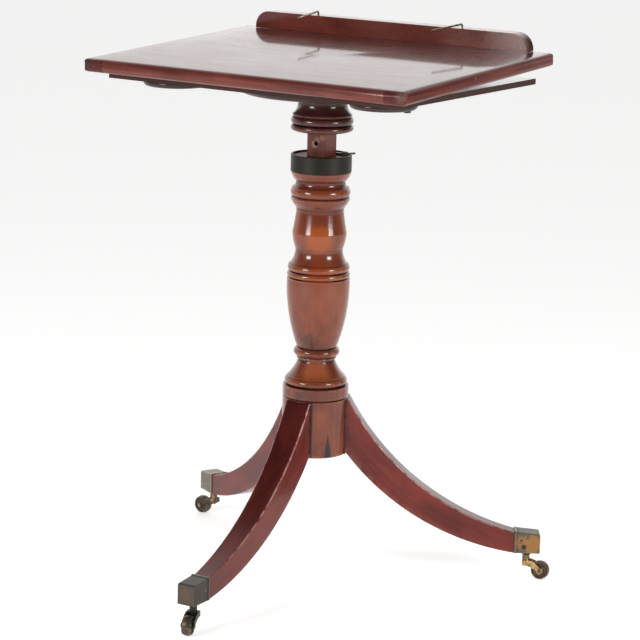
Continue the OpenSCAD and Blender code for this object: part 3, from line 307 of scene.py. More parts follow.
# Nodes that are used often, each by what comes out of it
def noise(tree, place, scale, detail=3.0, roughness=0.55, distortion=0.0):
    at = put(tree, "ShaderNodeVectorMath", {0: place, 1: scale}, operation="MULTIPLY").outputs[0]
    return put(tree, "ShaderNodeTexNoise", {
        "Vector": at, "Scale": 1.0, "Detail": detail, "Roughness": roughness,
        "Distortion": distortion}).outputs[0]


def calc(tree, operation, first, *others):
    for other in others or (0.0,):
        first = put(tree, "ShaderNodeMath", {0: first, 1: other}, operation=operation).outputs[0]
    return first


def times(tree, *values):
    return calc(tree, "MULTIPLY", *values)


def plus(tree, *values):
    return calc(tree, "ADD", *values)


def minus(tree, a, b):
    return calc(tree, "SUBTRACT", a, b)


def mixed(tree, amount, a, b, way="MIX"):
    return put(tree, "ShaderNodeMix", {0: amount, 6: a, 7: b}, data_type="RGBA", blend_type=way).outputs[2]


# Mahogany grain: long streaks, cloudy bands and short dark pores that run along the Z of its own position
grain, grain_in, grain_out = new_tree(
    "mahogany_grain", {"Vector": "Position", "Color": "Pale, Deep", "Float": "Cloud, Pore Depth, Roughness"},
    {"Color": "Colour", "Float": "Roughness, Height"})
pore_tint = (0.35, 0.28, 0.26, 1.0)
streaks = noise(grain, grain_in["Position"], (210, 210, 8), 4.0, 0.62, 0.5)
clouds = noise(grain, grain_in["Position"], (34, 34, 13), 3.0, 0.5, 0.3)
pores = spread(grain, noise(grain, grain_in["Position"], (1500, 1500, 110), 2.0), 0.58, 0.72)
tone = plus(grain, times(grain, clouds, grain_in["Cloud"]),
            times(grain, streaks, minus(grain, 1.1, grain_in["Cloud"])))
wood = mixed(grain, spread(grain, tone, 0.34, 0.76), grain_in["Deep"], grain_in["Pale"])
pore_mask = times(grain, pores, grain_in["Pore Depth"])
feed(grain, grain_out, {
    "Colour": mixed(grain, pore_mask, wood, pore_tint, "MULTIPLY"),
    "Roughness": plus(grain, grain_in["Roughness"], spread(grain, clouds, 0.3, 0.7, -0.04, 0.05),
                      times(grain, pore_mask, 0.15)),
    "Height": minus(grain, streaks, pore_mask)})

# Age marks: polish rubbed pale on the arrises (on the legs also a painted highlight), grime and painted shade
# in the hollows, small dark flecks all over
age, age_in, age_out = new_tree(
    "age_marks",
    {"Color": "Colour, Rubbed, Grime", "Vector": "Position", "Float": "Hollow, Arris, Rub, Flecks"},
    {"Color": "Colour", "Float": "Dull"})
patches = noise(age, age_in["Position"], (95, 95, 60), 4.0, 0.6)
flecks = spread(age, noise(age, age_in["Position"], (330, 330, 240), 1.0), 0.68, 0.76)
rub_and_sheen_mask = times(age, age_in["Arris"], age_in["Rub"], spread(age, patches, 0.32, 0.62))
grime_and_shade_mask = times(age, age_in["Hollow"], spread(age, patches, 0.2, 0.5, 0.75, 1.0))
rubbed = mixed(age, rub_and_sheen_mask, age_in["Colour"], age_in["Rubbed"])
flecked = mixed(age, times(age, age_in["Flecks"], flecks), rubbed, age_in["Grime"])
feed(age, age_out, {
    "Colour": mixed(age, grime_and_shade_mask, flecked, age_in["Grime"]),
    "Dull": plus(age, times(age, grime_and_shade_mask, 0.3), times(age, rub_and_sheen_mask, 0.08))})

# Soft spots: a stain, a chip, a worn patch, painted light or painted shade round one point of the surface
blot, blot_in, blot_out = new_tree(
    "soft_spot", {"Vector": "Position, Centre", "Float": "Radius, Ragged"}, {"Float": "Mask"})
blot_far = put(blot, "ShaderNodeVectorMath", {0: blot_in["Position"], 1: blot_in["Centre"]},
               operation="DISTANCE").outputs["Value"]
blot_noise = noise(blot, blot_in["Position"], (290, 290, 290), 3.0, 0.6)
blot_edge = times(blot, blot_in["Ragged"], minus(blot, blot_noise, 0.5))
blot_share = plus(blot, calc(blot, "DIVIDE", blot_far, blot_in["Radius"]), blot_edge)
feed(blot, blot_out, {"Mask": spread(blot, blot_share, 0.45, 1.05, 1.0, 0.0)})


def placed(tree, group, inputs):
    """A shader group in a material, with its inputs."""
    return put(tree, "ShaderNodeGroup", inputs, node_tree=group).outputs


def mark(tree, name):
    return put(tree, "ShaderNodeAttribute", {}, attribute_name=name).outputs["Fac"]


def bumped(tree, height, strength, depth):
    return put(tree, "ShaderNodeBump", {
        "Strength": strength, "Distance": depth, "Height": height}).outputs[0]


def spotted(tree, place, colour, spots):
    """Spots laid over a colour, each as its centre and radius in mm, raggedness, tint and strength."""
    for centre, radius, ragged, tint, strength in spots:
        mask = placed(tree, blot, {"Position": place, "Centre": [c * mm for c in centre],
                                   "Radius": radius * mm, "Ragged": ragged})["Mask"]
        colour = mixed(tree, times(tree, mask, strength), colour, (*tint, 1))
    return colour


def polished_wood(name, pale, deep, rubbed, grime, rough=0.3, coat=0.6, coat_rough=0.1, cloud=0.76, pore=0.6,
                  rub=0.6, flecks=0.5, ripple=0.0, turn=(0, 0, 0), grain_from=None, cut_ends=False,
                  edge_coat=None, spots=(), extra=None):
    """French-polished mahogany, where the coat is the polish. The grain runs along Z, or as the turn or the
    piece's own attribute says, and so does the ripple of a planed face. Cut ends soak up the polish, and the
    edges of a board can have less of it than its face."""
    finish, tree, shader = new_finish(name)
    place = put(tree, "ShaderNodeTexCoord", {}).outputs["Object"]
    if grain_from:
        along = put(tree, "ShaderNodeAttribute", {}, attribute_name=grain_from).outputs["Vector"]
    else:
        along = put(tree, "ShaderNodeMapping", {"Vector": place, "Rotation": turn}).outputs[0]
    bare = placed(tree, grain, {
        "Position": along, "Pale": (*pale, 1), "Deep": (*deep, 1), "Cloud": cloud, "Pore Depth": pore,
        "Roughness": rough})
    aged = placed(tree, age, {
        "Colour": bare["Colour"], "Position": place, "Hollow": mark(tree, "hollow"),
        "Arris": mark(tree, "arris"), "Rub": rub, "Rubbed": (*rubbed, 1), "Grime": (*grime, 1),
        "Flecks": flecks})
    colour, dull, polish = aged["Colour"], aged["Dull"], coat
    if cut_ends:
        soaked_tint, soaked_dull, soaked_coat = (0.85, 0.88, 0.92, 1.0), 0.22, 0.2
        end = spread(tree, mark(tree, "end"), 0.55, 0.9)
        colour = mixed(tree, end, colour, soaked_tint, "MULTIPLY")
        dull = plus(tree, dull, times(tree, end, soaked_dull))
        polish = spread(tree, end, 0.0, 1.0, coat, coat * soaked_coat)
        if edge_coat is not None:
            on_edge = spread(tree, mark(tree, "side"), 0.05, 0.6, coat, edge_coat)
            polish = calc(tree, "MINIMUM", polish, on_edge)
    colour = spotted(tree, place, colour, spots)
    if extra:
        colour = extra(tree, place, colour)
    bump, bump_depth = 0.12, 0.0006
    feed(tree, shader, {
        "Base Color": colour, "Roughness": plus(tree, bare["Roughness"], dull), "Coat Weight": polish,
        "Coat Roughness": coat_rough, "Specular IOR Level": 0.06,
        "Normal": bumped(tree, bare["Height"], bump, bump_depth)})
    if ripple:
        waves = noise(tree, along, (85, 85, 2.2), 2.0, 0.5)
        feed(tree, shader, {"Coat Normal": bumped(tree, waves, ripple, bump_depth)})
    return finish


# Splits in the drum: a dark wedge that opens towards the foot, on the +X side of its own position
split, split_in, split_out = new_tree(
    "shrinkage_split", {"Vector": "Position", "Float": "Foot, Head, Half Width"}, {"Float": "Mask"})
split_at = put(split, "ShaderNodeSeparateXYZ", {0: split_in["Position"]}).outputs
ragged = spread(split, noise(split, split_in["Position"], (60, 60, 300), 2.0), 0.3, 0.7, -0.0006, 0.0006)
share = spread(split, split_at["Z"], split_in["Foot"], split_in["Head"], 1.0, 0.0, "LINEAR")
below_head = calc(split, "LESS_THAN", split_at["Z"], split_in["Head"])
above_foot = calc(split, "GREATER_THAN", split_at["Z"], minus(split, split_in["Foot"], 0.002))
width_here = plus(split, times(split, share, split_in["Half Width"]), 0.0003)
off_line = calc(split, "ABSOLUTE", plus(split, split_at["Y"], ragged))
inside = spread(split, minus(split, width_here, off_line), -0.0003, 0.0003)
on_side = calc(split, "GREATER_THAN", split_at["X"], 0.0)
feed(split, split_out, {"Mask": times(split, inside, on_side, below_head, above_foot)})

# Joint lines: the dark seam on the drum beside a leg, for a leg on the +X side of its own position
seam, seam_in, seam_out = new_tree("leg_seam", {"Vector": "Position"}, {"Float": "Mask"})
seam_head, seam_inner, seam_outer = 0.272, (0.0190, 0.0200), (0.0208, 0.0222)
seam_at = put(seam, "ShaderNodeSeparateXYZ", {0: seam_in["Position"]}).outputs
seam_off = calc(seam, "ABSOLUTE", seam_at["Y"])
seam_line = minus(seam, spread(seam, seam_off, *seam_inner), spread(seam, seam_off, *seam_outer))
seam_low = calc(seam, "LESS_THAN", seam_at["Z"], seam_head)
seam_side = calc(seam, "GREATER_THAN", seam_at["X"], 0.0)
feed(seam, seam_out, {"Mask": times(seam, seam_line, seam_low, seam_side)})

drum_low, drum_high, drum_r = 188.0, 291.0, 48.5
drum_groove = 273.0
quirk = 1.6
bell_bead_high, bell_high, neck_high, ring_high = 302.0, 327.0, 333.0, 346.5
bell_bead_r, neck_r, ring_r = 46.0, 27.1, 33.8
vase_high, band_high, waist_bead_high, waist_high = 451.5, 460.5, 470.5, 489.5
vase_r, waist_bead_r, waist_r = 46.4, 45.2, 34.6
swell_high, fillet_high, mouth_bead_low, mouth_bead_high = 546.5, 555.5, 569.5, 583.5
swell_r, mouth_bead_r = 39.6, 43.4
mouth_cove_high, collar_seat, mouth_high = 593.0, 606.26, 629.3
mouth_cove_r, ovolo_r, mouth_r = 36.5, 43.8, 40.96
swell_h = swell_high - waist_high
mouth_bead_h = mouth_bead_low - fillet_high
column_profile = (
    [(20.0, drum_low), (drum_r - 1.2, drum_low), (drum_r, drum_low + 1.2), (drum_r, drum_groove - quirk),
     (drum_r - 1.2, drum_groove), (drum_r, drum_groove + quirk), (drum_r, drum_high - quirk),
     (drum_r - 0.7, drum_high - 0.7), (bell_bead_r - 3.0, drum_high)]
    + bead(drum_high + 0.1, bell_bead_high - 0.4, bell_bead_r - 2.4, bell_bead_r)
    + [(bell_bead_r - 3.6, bell_bead_high)]
    + cove(bell_bead_high + 0.5, bell_bead_r - 2.6, bell_high, neck_r, neck_r + 6.1)
    + [(neck_r, neck_high - 3.8)]
    + bead(neck_high - 3.6, neck_high - 0.2, neck_r + 0.5, neck_r + 2.4)
    + bead(neck_high + 0.2, ring_high, neck_r + 1.4, ring_r)
    + cove(ring_high + 0.2, neck_r + 2.3, vase_high - quirk, vase_r - 0.5, vase_r - 3.6)
    + [(vase_r - 2.8, vase_high)]
    + bead(vase_high + 0.2, band_high - quirk, vase_r - 1.8, vase_r - 0.4)
    + [(waist_bead_r - 2.8, band_high - 0.3)]
    + bead(band_high, waist_bead_high, waist_bead_r - 2.0, waist_bead_r)
    + cove(waist_bead_high + 0.1, waist_bead_r - 2.8, waist_high, waist_r, waist_r + 2.2)
    + arc((waist_r + 0.4, waist_high + 4), (swell_r - 0.8, waist_high + swell_h * 0.32),
          (swell_r, waist_high + swell_h * 0.46))
    + arc((swell_r, waist_high + swell_h * 0.48), (swell_r - 2.6, waist_high + swell_h * 0.74),
          (waist_r + 0.2, swell_high))
    + [(waist_r + 0.2, fillet_high - 2.5), (waist_r + 0.9, fillet_high - 2.4)]
    + arc((mouth_bead_r - 6.8, fillet_high), (mouth_bead_r - 1.9, fillet_high + mouth_bead_h * 0.5),
          (mouth_bead_r, fillet_high + mouth_bead_h * 0.86))
    + [(mouth_bead_r - 1.7, mouth_bead_low)]
    + bead(mouth_bead_low + 0.1, mouth_bead_high, mouth_bead_r - 2.6, mouth_bead_r)
    + cove(mouth_bead_high + 0.1, mouth_bead_r - 3.6, mouth_cove_high, mouth_cove_r + 0.2, mouth_cove_r)
    + arc((mouth_cove_r + 0.5, mouth_cove_high + 0.2), (ovolo_r - 2.1, (mouth_cove_high + collar_seat) / 2),
          (ovolo_r, collar_seat - 0.2))
    + [(mouth_r, collar_seat), (mouth_r, mouth_high), (24.0, mouth_high)])
post_hole, post_hole_low = 31.6, 348.3

# Painted light and shade on the side of the column that faces the camera: brighter orange glows on the drum,
# bell, vase, waist and swell, and darker red on the drum's head, the ring, the top of the swell and the mouth
# below the collar. Then two stains, a chip and dots of ink
ink, pale_wood = (0.012, 0.006, 0.005), (0.42, 0.24, 0.17)
column_light_shade_and_stains = (
    ((14.3, -21.7, 612.0), 42.0, 0.4, (0.10, 0.015, 0.009), 0.65),
    ((20.8, -31.7, 573.0), 38.0, 0.4, (0.12, 0.019, 0.010), 0.6),
    ((20.0, -30.4, 543.0), 24.0, 0.4, (0.11, 0.018, 0.009), 0.65),
    ((21.4, -32.6, 510.0), 27.0, 0.4, (0.36, 0.078, 0.013), 0.7),
    ((22.5, -34.3, 478.0), 20.0, 0.4, (0.20, 0.036, 0.012), 0.5),
    ((24.5, -37.2, 455.0), 24.0, 0.4, (0.26, 0.046, 0.008), 0.6),
    ((24.5, -37.2, 425.0), 38.0, 0.4, (0.20, 0.036, 0.011), 0.5),
    ((18.0, -27.4, 341.0), 24.0, 0.4, (0.08, 0.016, 0.009), 0.65),
    ((19.0, -29.0, 312.0), 26.0, 0.4, (0.40, 0.110, 0.040), 0.5),
    ((26.6, -40.5, 282.0), 32.0, 0.4, (0.09, 0.017, 0.010), 0.7),
    ((26.6, -40.5, 232.0), 36.0, 0.4, (0.28, 0.062, 0.026), 0.35),
    ((7.4, -33.2, 360.7), 16.0, 1.6, (0.05, 0.018, 0.012), 0.7),
    ((2.8, -48.4, 280.5), 8.0, 1.4, (0.06, 0.022, 0.014), 0.7),
    ((1.9, -46.3, 452.5), 2.0, 0.6, pale_wood, 0.8),
    ((21.0, -39.3, 416.9), 1.0, 0.5, ink, 0.9),
    ((26.2, -36.0, 412.6), 0.9, 0.5, ink, 0.9),
    ((31.4, -31.5, 409.0), 1.0, 0.5, ink, 0.9),
    ((29.7, -28.3, 396.8), 0.9, 0.5, ink, 0.9),
    ((-0.2, -46.3, 424.1), 0.9, 0.5, ink, 0.8),
    ((-3.6, -40.8, 370.6), 1.1, 0.5, ink, 0.8),
    ((42.9, -11.7, 418.2), 1.0, 0.5, ink, 0.8),
    ((6.6, -40.5, 392.9), 0.9, 0.5, ink, 0.8))
drum_lines = [(split, 32.5, {"Foot": 0.188, "Head": 0.2225, "Half Width": 0.0058}),
              (split, 0.0, {"Foot": 0.262, "Head": 0.318, "Half Width": 0.0004})]
drum_lines += [(seam, turn, {}) for turn in (87, -33, -153)]


def splits_and_seams(tree, place, colour):
    """The splits of the column, and the seams where the legs join its drum."""
    for group, turn, shape in drum_lines:
        rotation = (0, 0, math.radians(turn))
        at = put(tree, "ShaderNodeMapping", {"Vector": place, "Rotation": rotation}).outputs[0]
        mask = placed(tree, group, {"Position": at, **shape})["Mask"]
        colour = mixed(tree, mask, colour, (*ink, 1))
    return colour


column_polish = polished_wood(
    "column_polish", pale=(0.25, 0.056, 0.018), deep=(0.12, 0.024, 0.010), rubbed=(0.33, 0.12, 0.05),
    grime=(0.010, 0.004, 0.003), rough=0.3, coat=0.85, coat_rough=0.14, cut_ends=True, spots=column_light_shade_and_stains,
    extra=splits_and_seams)
column = turned("turned_column", column_profile, post_hole, post_hole_low)
ride_for(column, "column", "base", column_polish)

# Collar
# A drawn brass ferrule driven over the column's mouth, gone nearly black. Its rim stands proud of the wood
# inside and has a notch for the thumb tab of the catch.


def merged(node):
    """A frame node as a mesh to work on, with its doubled points made one."""
    made = bmesh.new()
    made.from_mesh(frame["nodes"][node].data)
    bmesh.ops.remove_doubles(made, verts=made.verts, dist=2e-6)
    return made


def softened(node, bevel=0.0, sharp=35.0, segments=2, grain_way=None):
    """A merged copy of a frame node with its sharp edges eased by a small bevel, in mm. Where its grain has a
    direction, each face keeps how far it lies across the grain, and how far it turns from facing up."""
    least_edge, flat = 0.0012, math.radians(0.4)
    made = merged(node)
    bmesh.ops.dissolve_limit(made, angle_limit=flat, verts=made.verts, edges=made.edges)
    corners = [v.co.copy() for v in made.verts]
    made.verts.index_update()
    outline = [[v.index for v in f.verts] for f in made.faces]
    made.free()
    made = bmesh.new()
    points = [made.verts.new(p) for p in corners]
    for face in outline:
        made.faces.new([points[i] for i in face])
    if bevel:
        eased = [e for e in made.edges if e.is_manifold and e.calc_length() > least_edge
                 and e.calc_face_angle() > math.radians(sharp)]
        bmesh.ops.bevel(made, geom=eased, offset=bevel * mm, offset_type="OFFSET", segments=segments,
                        profile=0.5, affect="EDGES", clamp_overlap=True)
    piece = finished(node + "_piece", made, sharp)
    if grain_way:
        faces = piece.data.polygons
        keep_marks(piece.data, {"end": [abs(face.normal.dot(grain_way)) for face in faces],
                                "side": [1.0 - max(0.0, face.normal.z) for face in faces]}, "FACE")
    return piece


def fitted(node, body, slot, finish, bevel=0.0, **shaping):
    """A softened copy of a node takes the node's place."""
    ride_for(softened(node, bevel, **shaping), node, body, finish)


# Brass of some age: bright where it is rubbed, brown tarnish over it, dark grime in patches, and grime with
# painted shade in the hollows
brass, brass_in, brass_out = new_tree(
    "aged_brass",
    {"Vector": "Position", "Color": "Bright, Tarnish, Grime", "Float": "Cover, Spots, Arris, Hollow"},
    {"Color": "Colour", "Float": "Roughness, Metallic, Height"})
bloom = noise(brass, brass_in["Position"], (120, 120, 120), 5.0, 0.6, 0.4)
speck = noise(brass, brass_in["Position"], (620, 620, 620), 3.0, 0.6)
bare = minus(brass, 1.0, brass_in["Cover"])
cover = spread(brass, minus(brass, bloom, times(brass, minus(brass, bare, 0.5), 0.7)), 0.36, 0.62)
kept = times(brass, cover, minus(brass, 1.0, times(brass, brass_in["Arris"], 0.7)))
spots = times(brass, brass_in["Spots"], spread(brass, speck, 0.54, 0.68))
dirt_and_shade = calc(brass, "MAXIMUM", spots, brass_in["Hollow"])
brass_colour = mixed(brass, kept, brass_in["Bright"], brass_in["Tarnish"])
feed(brass, brass_out, {
    "Colour": mixed(brass, dirt_and_shade, brass_colour, brass_in["Grime"]),
    "Roughness": plus(brass, spread(brass, kept, 0.0, 1.0, 0.24, 0.42), times(brass, dirt_and_shade, 0.25)),
    "Metallic": minus(brass, spread(brass, kept, 0.0, 1.0, 1.0, 0.72), times(brass, dirt_and_shade, 0.5)),
    "Height": minus(brass, speck, dirt_and_shade)})


def aged_brass(name, bright, tarnish, grime, cover, spots, worn=()):
    """Brass by how much of it the tarnish covers and how spotted it is, with its worn or dark places."""
    finish, tree, shader = new_finish(name)
    place = put(tree, "ShaderNodeTexCoord", {}).outputs["Object"]
    metal = placed(tree, brass, {
        "Position": place, "Bright": (*bright, 1), "Tarnish": (*tarnish, 1), "Grime": (*grime, 1),
        "Cover": cover, "Spots": spots, "Arris": mark(tree, "arris"), "Hollow": mark(tree, "hollow")})
    feed(tree, shader, {
        "Base Color": spotted(tree, place, metal["Colour"], worn), "Roughness": metal["Roughness"],
        "Metallic": metal["Metallic"], "Normal": bumped(tree, metal["Height"], 0.15, 0.0005)})
    return finish


collar_brass = aged_brass("collar_brass", bright=(0.060, 0.046, 0.036), tarnish=(0.020, 0.017, 0.014),
                          grime=(0.010, 0.008, 0.007), cover=0.8, spots=0.3)
fitted("collar", "base", "old_brass", collar_brass, 0.5)

# Catch
# A filed brass bell crank under the rim, whose thumb tab comes out through the notch. It turns on a
# shouldered screw, and a coil of iron wire round that screw springs it back against the post.
catch_brass = aged_brass("catch_brass", bright=(0.14, 0.11, 0.075), tarnish=(0.045, 0.038, 0.03),
                         grime=(0.02, 0.016, 0.013), cover=0.7, spots=0.3)
fitted("catch_lever", "catch", "old_brass", catch_brass, 0.3)
fitted("catch_screw", "base", "old_brass", catch_brass, 0.3)

# Black iron with brown rust in patches
dark_iron = aged_brass("dark_iron", bright=(0.11, 0.105, 0.10), tarnish=(0.055, 0.048, 0.043),
                       grime=(0.075, 0.028, 0.012), cover=0.6, spots=0.6)


def made_real(tree, copies, finish, out):
    """The end of a geometry tree: its copies become one mesh, in one finish."""
    real = put(tree, "GeometryNodeRealizeInstances", {"Geometry": copies.outputs[0]})
    dressed = put(tree, "GeometryNodeSetMaterial", {"Geometry": real.outputs[0], "Material": finish})
    feed(tree, out, {"Geometry": dressed.outputs[0]})


def grown(name, base_mesh, tree, values):
    """The plain mesh that a geometry tree makes of a base mesh, as an object at the origin."""
    carrier = bpy.data.objects.new(name + "_carrier", base_mesh)
    scene.collection.objects.link(carrier)
    modifier = carrier.modifiers.new("grow", "NODES")
    modifier.node_group = tree
    for item in tree.interface.items_tree:
        if item.in_out == "INPUT" and item.name in values:
            modifier[item.identifier] = values[item.name]
    graph = bpy.context.evaluated_depsgraph_get()
    mesh = bpy.data.meshes.new_from_object(carrier.evaluated_get(graph))
    carrier.modifiers.remove(modifier)
    bpy.data.objects.remove(carrier)
    mesh.name = name
    piece = bpy.data.objects.new(name, mesh)
    scene.collection.objects.link(piece)
    return piece


coil, coil_in, coil_out = new_tree(
    "wire_coil",
    {"Float": "Turns, Coil Radius, Wire Radius, Height", "Vector": "Place", "Material": "Finish"},
    {"Geometry": "Geometry"}, "GeometryNodeTree")
coil_path = put(coil, "GeometryNodeCurveSpiral", {
    "Resolution": 32, "Rotations": coil_in["Turns"], "Start Radius": coil_in["Coil Radius"],
    "End Radius": coil_in["Coil Radius"], "Height": coil_in["Height"]})
coil_round = put(coil, "GeometryNodeCurvePrimitiveCircle", {
    "Resolution": 10, "Radius": coil_in["Wire Radius"]})
coil_tube = put(coil, "GeometryNodeCurveToMesh", {
    "Curve": coil_path.outputs[0], "Profile Curve": coil_round.outputs[0], "Fill Caps": True})
coil_moved = put(coil, "GeometryNodeTransform", {
    "Geometry": coil_tube.outputs[0], "Translation": coil_in["Place"]})
made_real(coil, coil_moved, coil_in["Finish"], coil_out)

spring_low, spring_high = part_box("catch_spring")
spring_middle = (spring_low + spring_high) / 2
spring_wire = 0.5 * mm
spring = grown("catch_spring_coil", bpy.data.meshes.new("empty"), coil, {
    "Turns": 3.0, "Coil Radius": (spring_high.x - spring_low.x) / 2 - spring_wire, "Wire Radius": spring_wire,
    "Height": spring_high.z - spring_low.z - 2 * spring_wire,
    "Place": (spring_middle.x, spring_middle.y, spring_low.z + spring_wire), "Finish": dark_iron})
ride_for(spring, "catch_spring", "base", dark_iron)

# Legs
# Three sabre legs sawn from solid mahogany and dovetailed up into the drum from below. Their top faces are
# darkened with painted shade, and their arrises are worn to a pale streak that is also a painted highlight.
leg_turns = {"front": -87.0, "right": 33.0, "left": 153.0}
leg_root_w, leg_toe_w, leg_head = 40.0, 26.5, 271.0
leg_root_r, leg_toe_r = 41.0, 303.0
leg_start, leg_end = 48.5, 301.5
leg_upper = circle_through((leg_start, 275.0), (150.0, 149.5), (leg_end, 73.0))
leg_lower = circle_through((leg_start, 188.5), (150.0, 97.0), (leg_end, 41.3))
arris_r, foot_arris_r = 1.5, 1.2
plumb_from = 215.0
drum_grime_and_shade_r, drum_grime_and_shade_w = 51.0, 2.0


def leg_half(r):
    """Half the width of a leg at a distance from the axis, which narrows evenly from drum to cap."""
    along = min(1.0, max(0.0, (r - leg_start) / (leg_end - leg_start)))
    return (leg_root_w + (leg_toe_w - leg_root_w) * along) / 2


def on_sweep(circle, r):
    """Point of a leg's face at a distance from the axis: the lower left part of its circle."""
    x, y, radius = circle
    return Vector((r, y - math.sqrt(radius ** 2 - (r - x) ** 2)))


def leg_section(h, half):
    """Outline across a leg of height h, as (across, up, top, arris): top is 1 on the top face."""
    right = [(half, foot_arris_r + 0.4, 0, 0.1)]
    right += [(half, h * part, 0, 0) for part in (0.2, 0.4, 0.6, 0.8)]
    right += [(half, h - arris_r - 1.0, 0, 0)]
    for step in range(6):
        a = math.radians(18 * step)
        right.append((half - arris_r + arris_r * math.cos(a), h - arris_r + arris_r * math.sin(a), step / 5,
                      1.0 if 0 < step < 5 else 0.5))
    right += [(half - arris_r - 1.0, h, 1, 0), (half * 0.7, h, 1, 0), (half * 0.35, h, 1, 0)]
    left = [(-y, z, top, arris) for y, z, top, arris in reversed(right)]
    foot = []
    for side, steps in ((-1, (0, 1, 2)), (1, (2, 1, 0))):
        for step in steps:
            a = math.radians(45 * step)
            foot.append((side * (half - foot_arris_r + foot_arris_r * math.cos(a)),
                         foot_arris_r - foot_arris_r * math.sin(a), 0, 0.25))
    return right + [(0, h, 1, 0)] + left + foot


def lofted(made, rings):
    """Faces along a row of rings and over both ends."""
    skinned(made, zip(rings, rings[1:]))
    made.faces.new(rings[0])
    made.faces.new(rings[-1])


def sabre_leg(name, turn, offset):
    """One leg, lofted along its sweep, with its grain kept as a position along it."""
    stations, crowding = 84, 0.9
    tries, ease, least_r = 12, 0.6, 24.0
    arris_fade, top_shade_fade = 0.85, 0.75
    made = bmesh.new()
    hollows, arrises, top_shades, grains, rings = [], [], [], [], []
    run = 0.0
    before = None
    for i in range(stations + 1):
        r = leg_root_r + (leg_toe_r - leg_root_r) * (i / stations) ** crowding
        high, low = on_sweep(leg_upper, r), on_sweep(leg_lower, r)
        for _ in range(tries):
            tangent = Vector((leg_upper[1] - high.y, high.x - leg_upper[0])).normalized()
            low = on_sweep(leg_lower, max(least_r, low.x + (high - low).dot(tangent) * tangent.x * ease))
        plumb = max(0.0, (r - plumb_from) / (leg_toe_r - plumb_from))
        low = on_sweep(leg_lower, low.x + (r - low.x) * plumb)
        middle = (high + low) / 2
        run += (middle - before).length if before else 0.0
        before = middle
        height = (high - low).length
        up = (high - low).normalized()
        half = leg_half(r)
        ring = []
        for across, rise, top, arris in leg_section(height, half):
            spot = low + up * rise
            across *= leg_half(spot.x) / half
            spot.y = min(spot.y, leg_head)
            # Grime and painted shade where the leg meets the drum, as a hollow mark
            near_drum = max(0.0, min(1.0, (drum_grime_and_shade_r - math.hypot(spot.x, across)) / drum_grime_and_shade_w))
            ring.append(made.verts.new((spot.x * mm, across * mm, spot.y * mm)))
            hollows.append(near_drum)
            arrises.append(arris * (1.0 - near_drum) * (1.0 - arris_fade * i / stations))
            # Painted shade on the top face, fading towards the toe
            top_shades.append(top * (1.0 - top_shade_fade * i / stations))
            grains += [across * mm + offset, (rise - height / 2) * mm, run * mm]
        rings.append(ring)
    lofted(made, rings)
    leg = finished(name, made, 50.0, turn)
    keep_marks(leg.data, {"hollow": hollows, "arris": arrises, "leg_top_shade": top_shades})
    leg.data.attributes.new("leg_grain", "FLOAT_VECTOR", "POINT").data.foreach_set("vector", grains)
    return leg


def shaded_leg_top(tree, place, colour):
    """Painted shade on a leg's top face."""
    painted_top_shade = times(tree, mark(tree, "leg_top_shade"), 0.9)
    return mixed(tree, painted_top_shade, colour, (0.32, 0.18, 0.20, 1.0), "MULTIPLY")


# The pale rubbed colour on the arrises is worn polish and a painted highlight
leg_polish = polished_wood(
    "leg_polish", pale=(0.19, 0.025, 0.016), deep=(0.088, 0.011, 0.008), rubbed=(0.66, 0.45, 0.39),
    grime=(0.010, 0.004, 0.003), rough=0.34, coat=0.5, coat_rough=0.12, rub=1.0, grain_from="leg_grain",
    extra=shaded_leg_top)
for place, offset in (("front", 0.0), ("right", 0.7), ("left", 1.4)):
    leg = sabre_leg("sabre_leg_" + place, leg_turns[place], offset)
    ride_for(leg, "leg_" + place, "base", leg_polish)

# Brace under the drum
# A three-armed plate of sheet iron screwed up into the drum and the legs, which keeps the dovetails home.
fitted("brace_plate", "base", "iron", dark_iron, 0.4)

# Brass caps
# Box caps (sabots) cast and filed to fit the legs' toes, with a raised lip at the mouth and a boss below for
# the castor. They are brown all over, greenish on top, and rubbed to yellow on the sides that get kicked.
cap_in, cap_out, cap_low = 301.5, 339.5, 41.3
cap_high_in, cap_high_out, cap_w = 74.2, 71.0, 28.0
lip_w, lip_out, lip_ease, lip_shade = 3.5, 0.7, 0.3, 1.2
cap_corner, cap_edge = 3.0, 0.9
boss_x, boss_low, boss_r, boss_top_r = 320.5, 36.3, 6.5, 11.5


def box_ring(half, low, high, edge):
    """Outline of a box with eased corners, as (across, up, arris)."""
    corners = ((half - edge, low + edge, -90), (half - edge, high - edge, 0), (edge - half, high - edge, 90),
               (edge - half, low + edge, 180))
    ring = []
    for (y, z, start), (next_y, next_z, _) in zip(corners, corners[1:] + corners[:1]):
        for step in range(4):
            a = math.radians(start + 30 * step)
            ring.append((y + edge * math.cos(a), z + edge * math.sin(a), 1.0))
        a = math.radians(start + 90)
        y0, z0 = y + edge * math.cos(a), z + edge * math.sin(a)
        y1, z1 = next_y + edge * math.cos(a), next_z + edge * math.sin(a)
        ring += [(y0 + (y1 - y0) * part, z0 + (z1 - z0) * part, 0.0) for part in (0.08, 0.36, 0.64, 0.92)]
    return ring


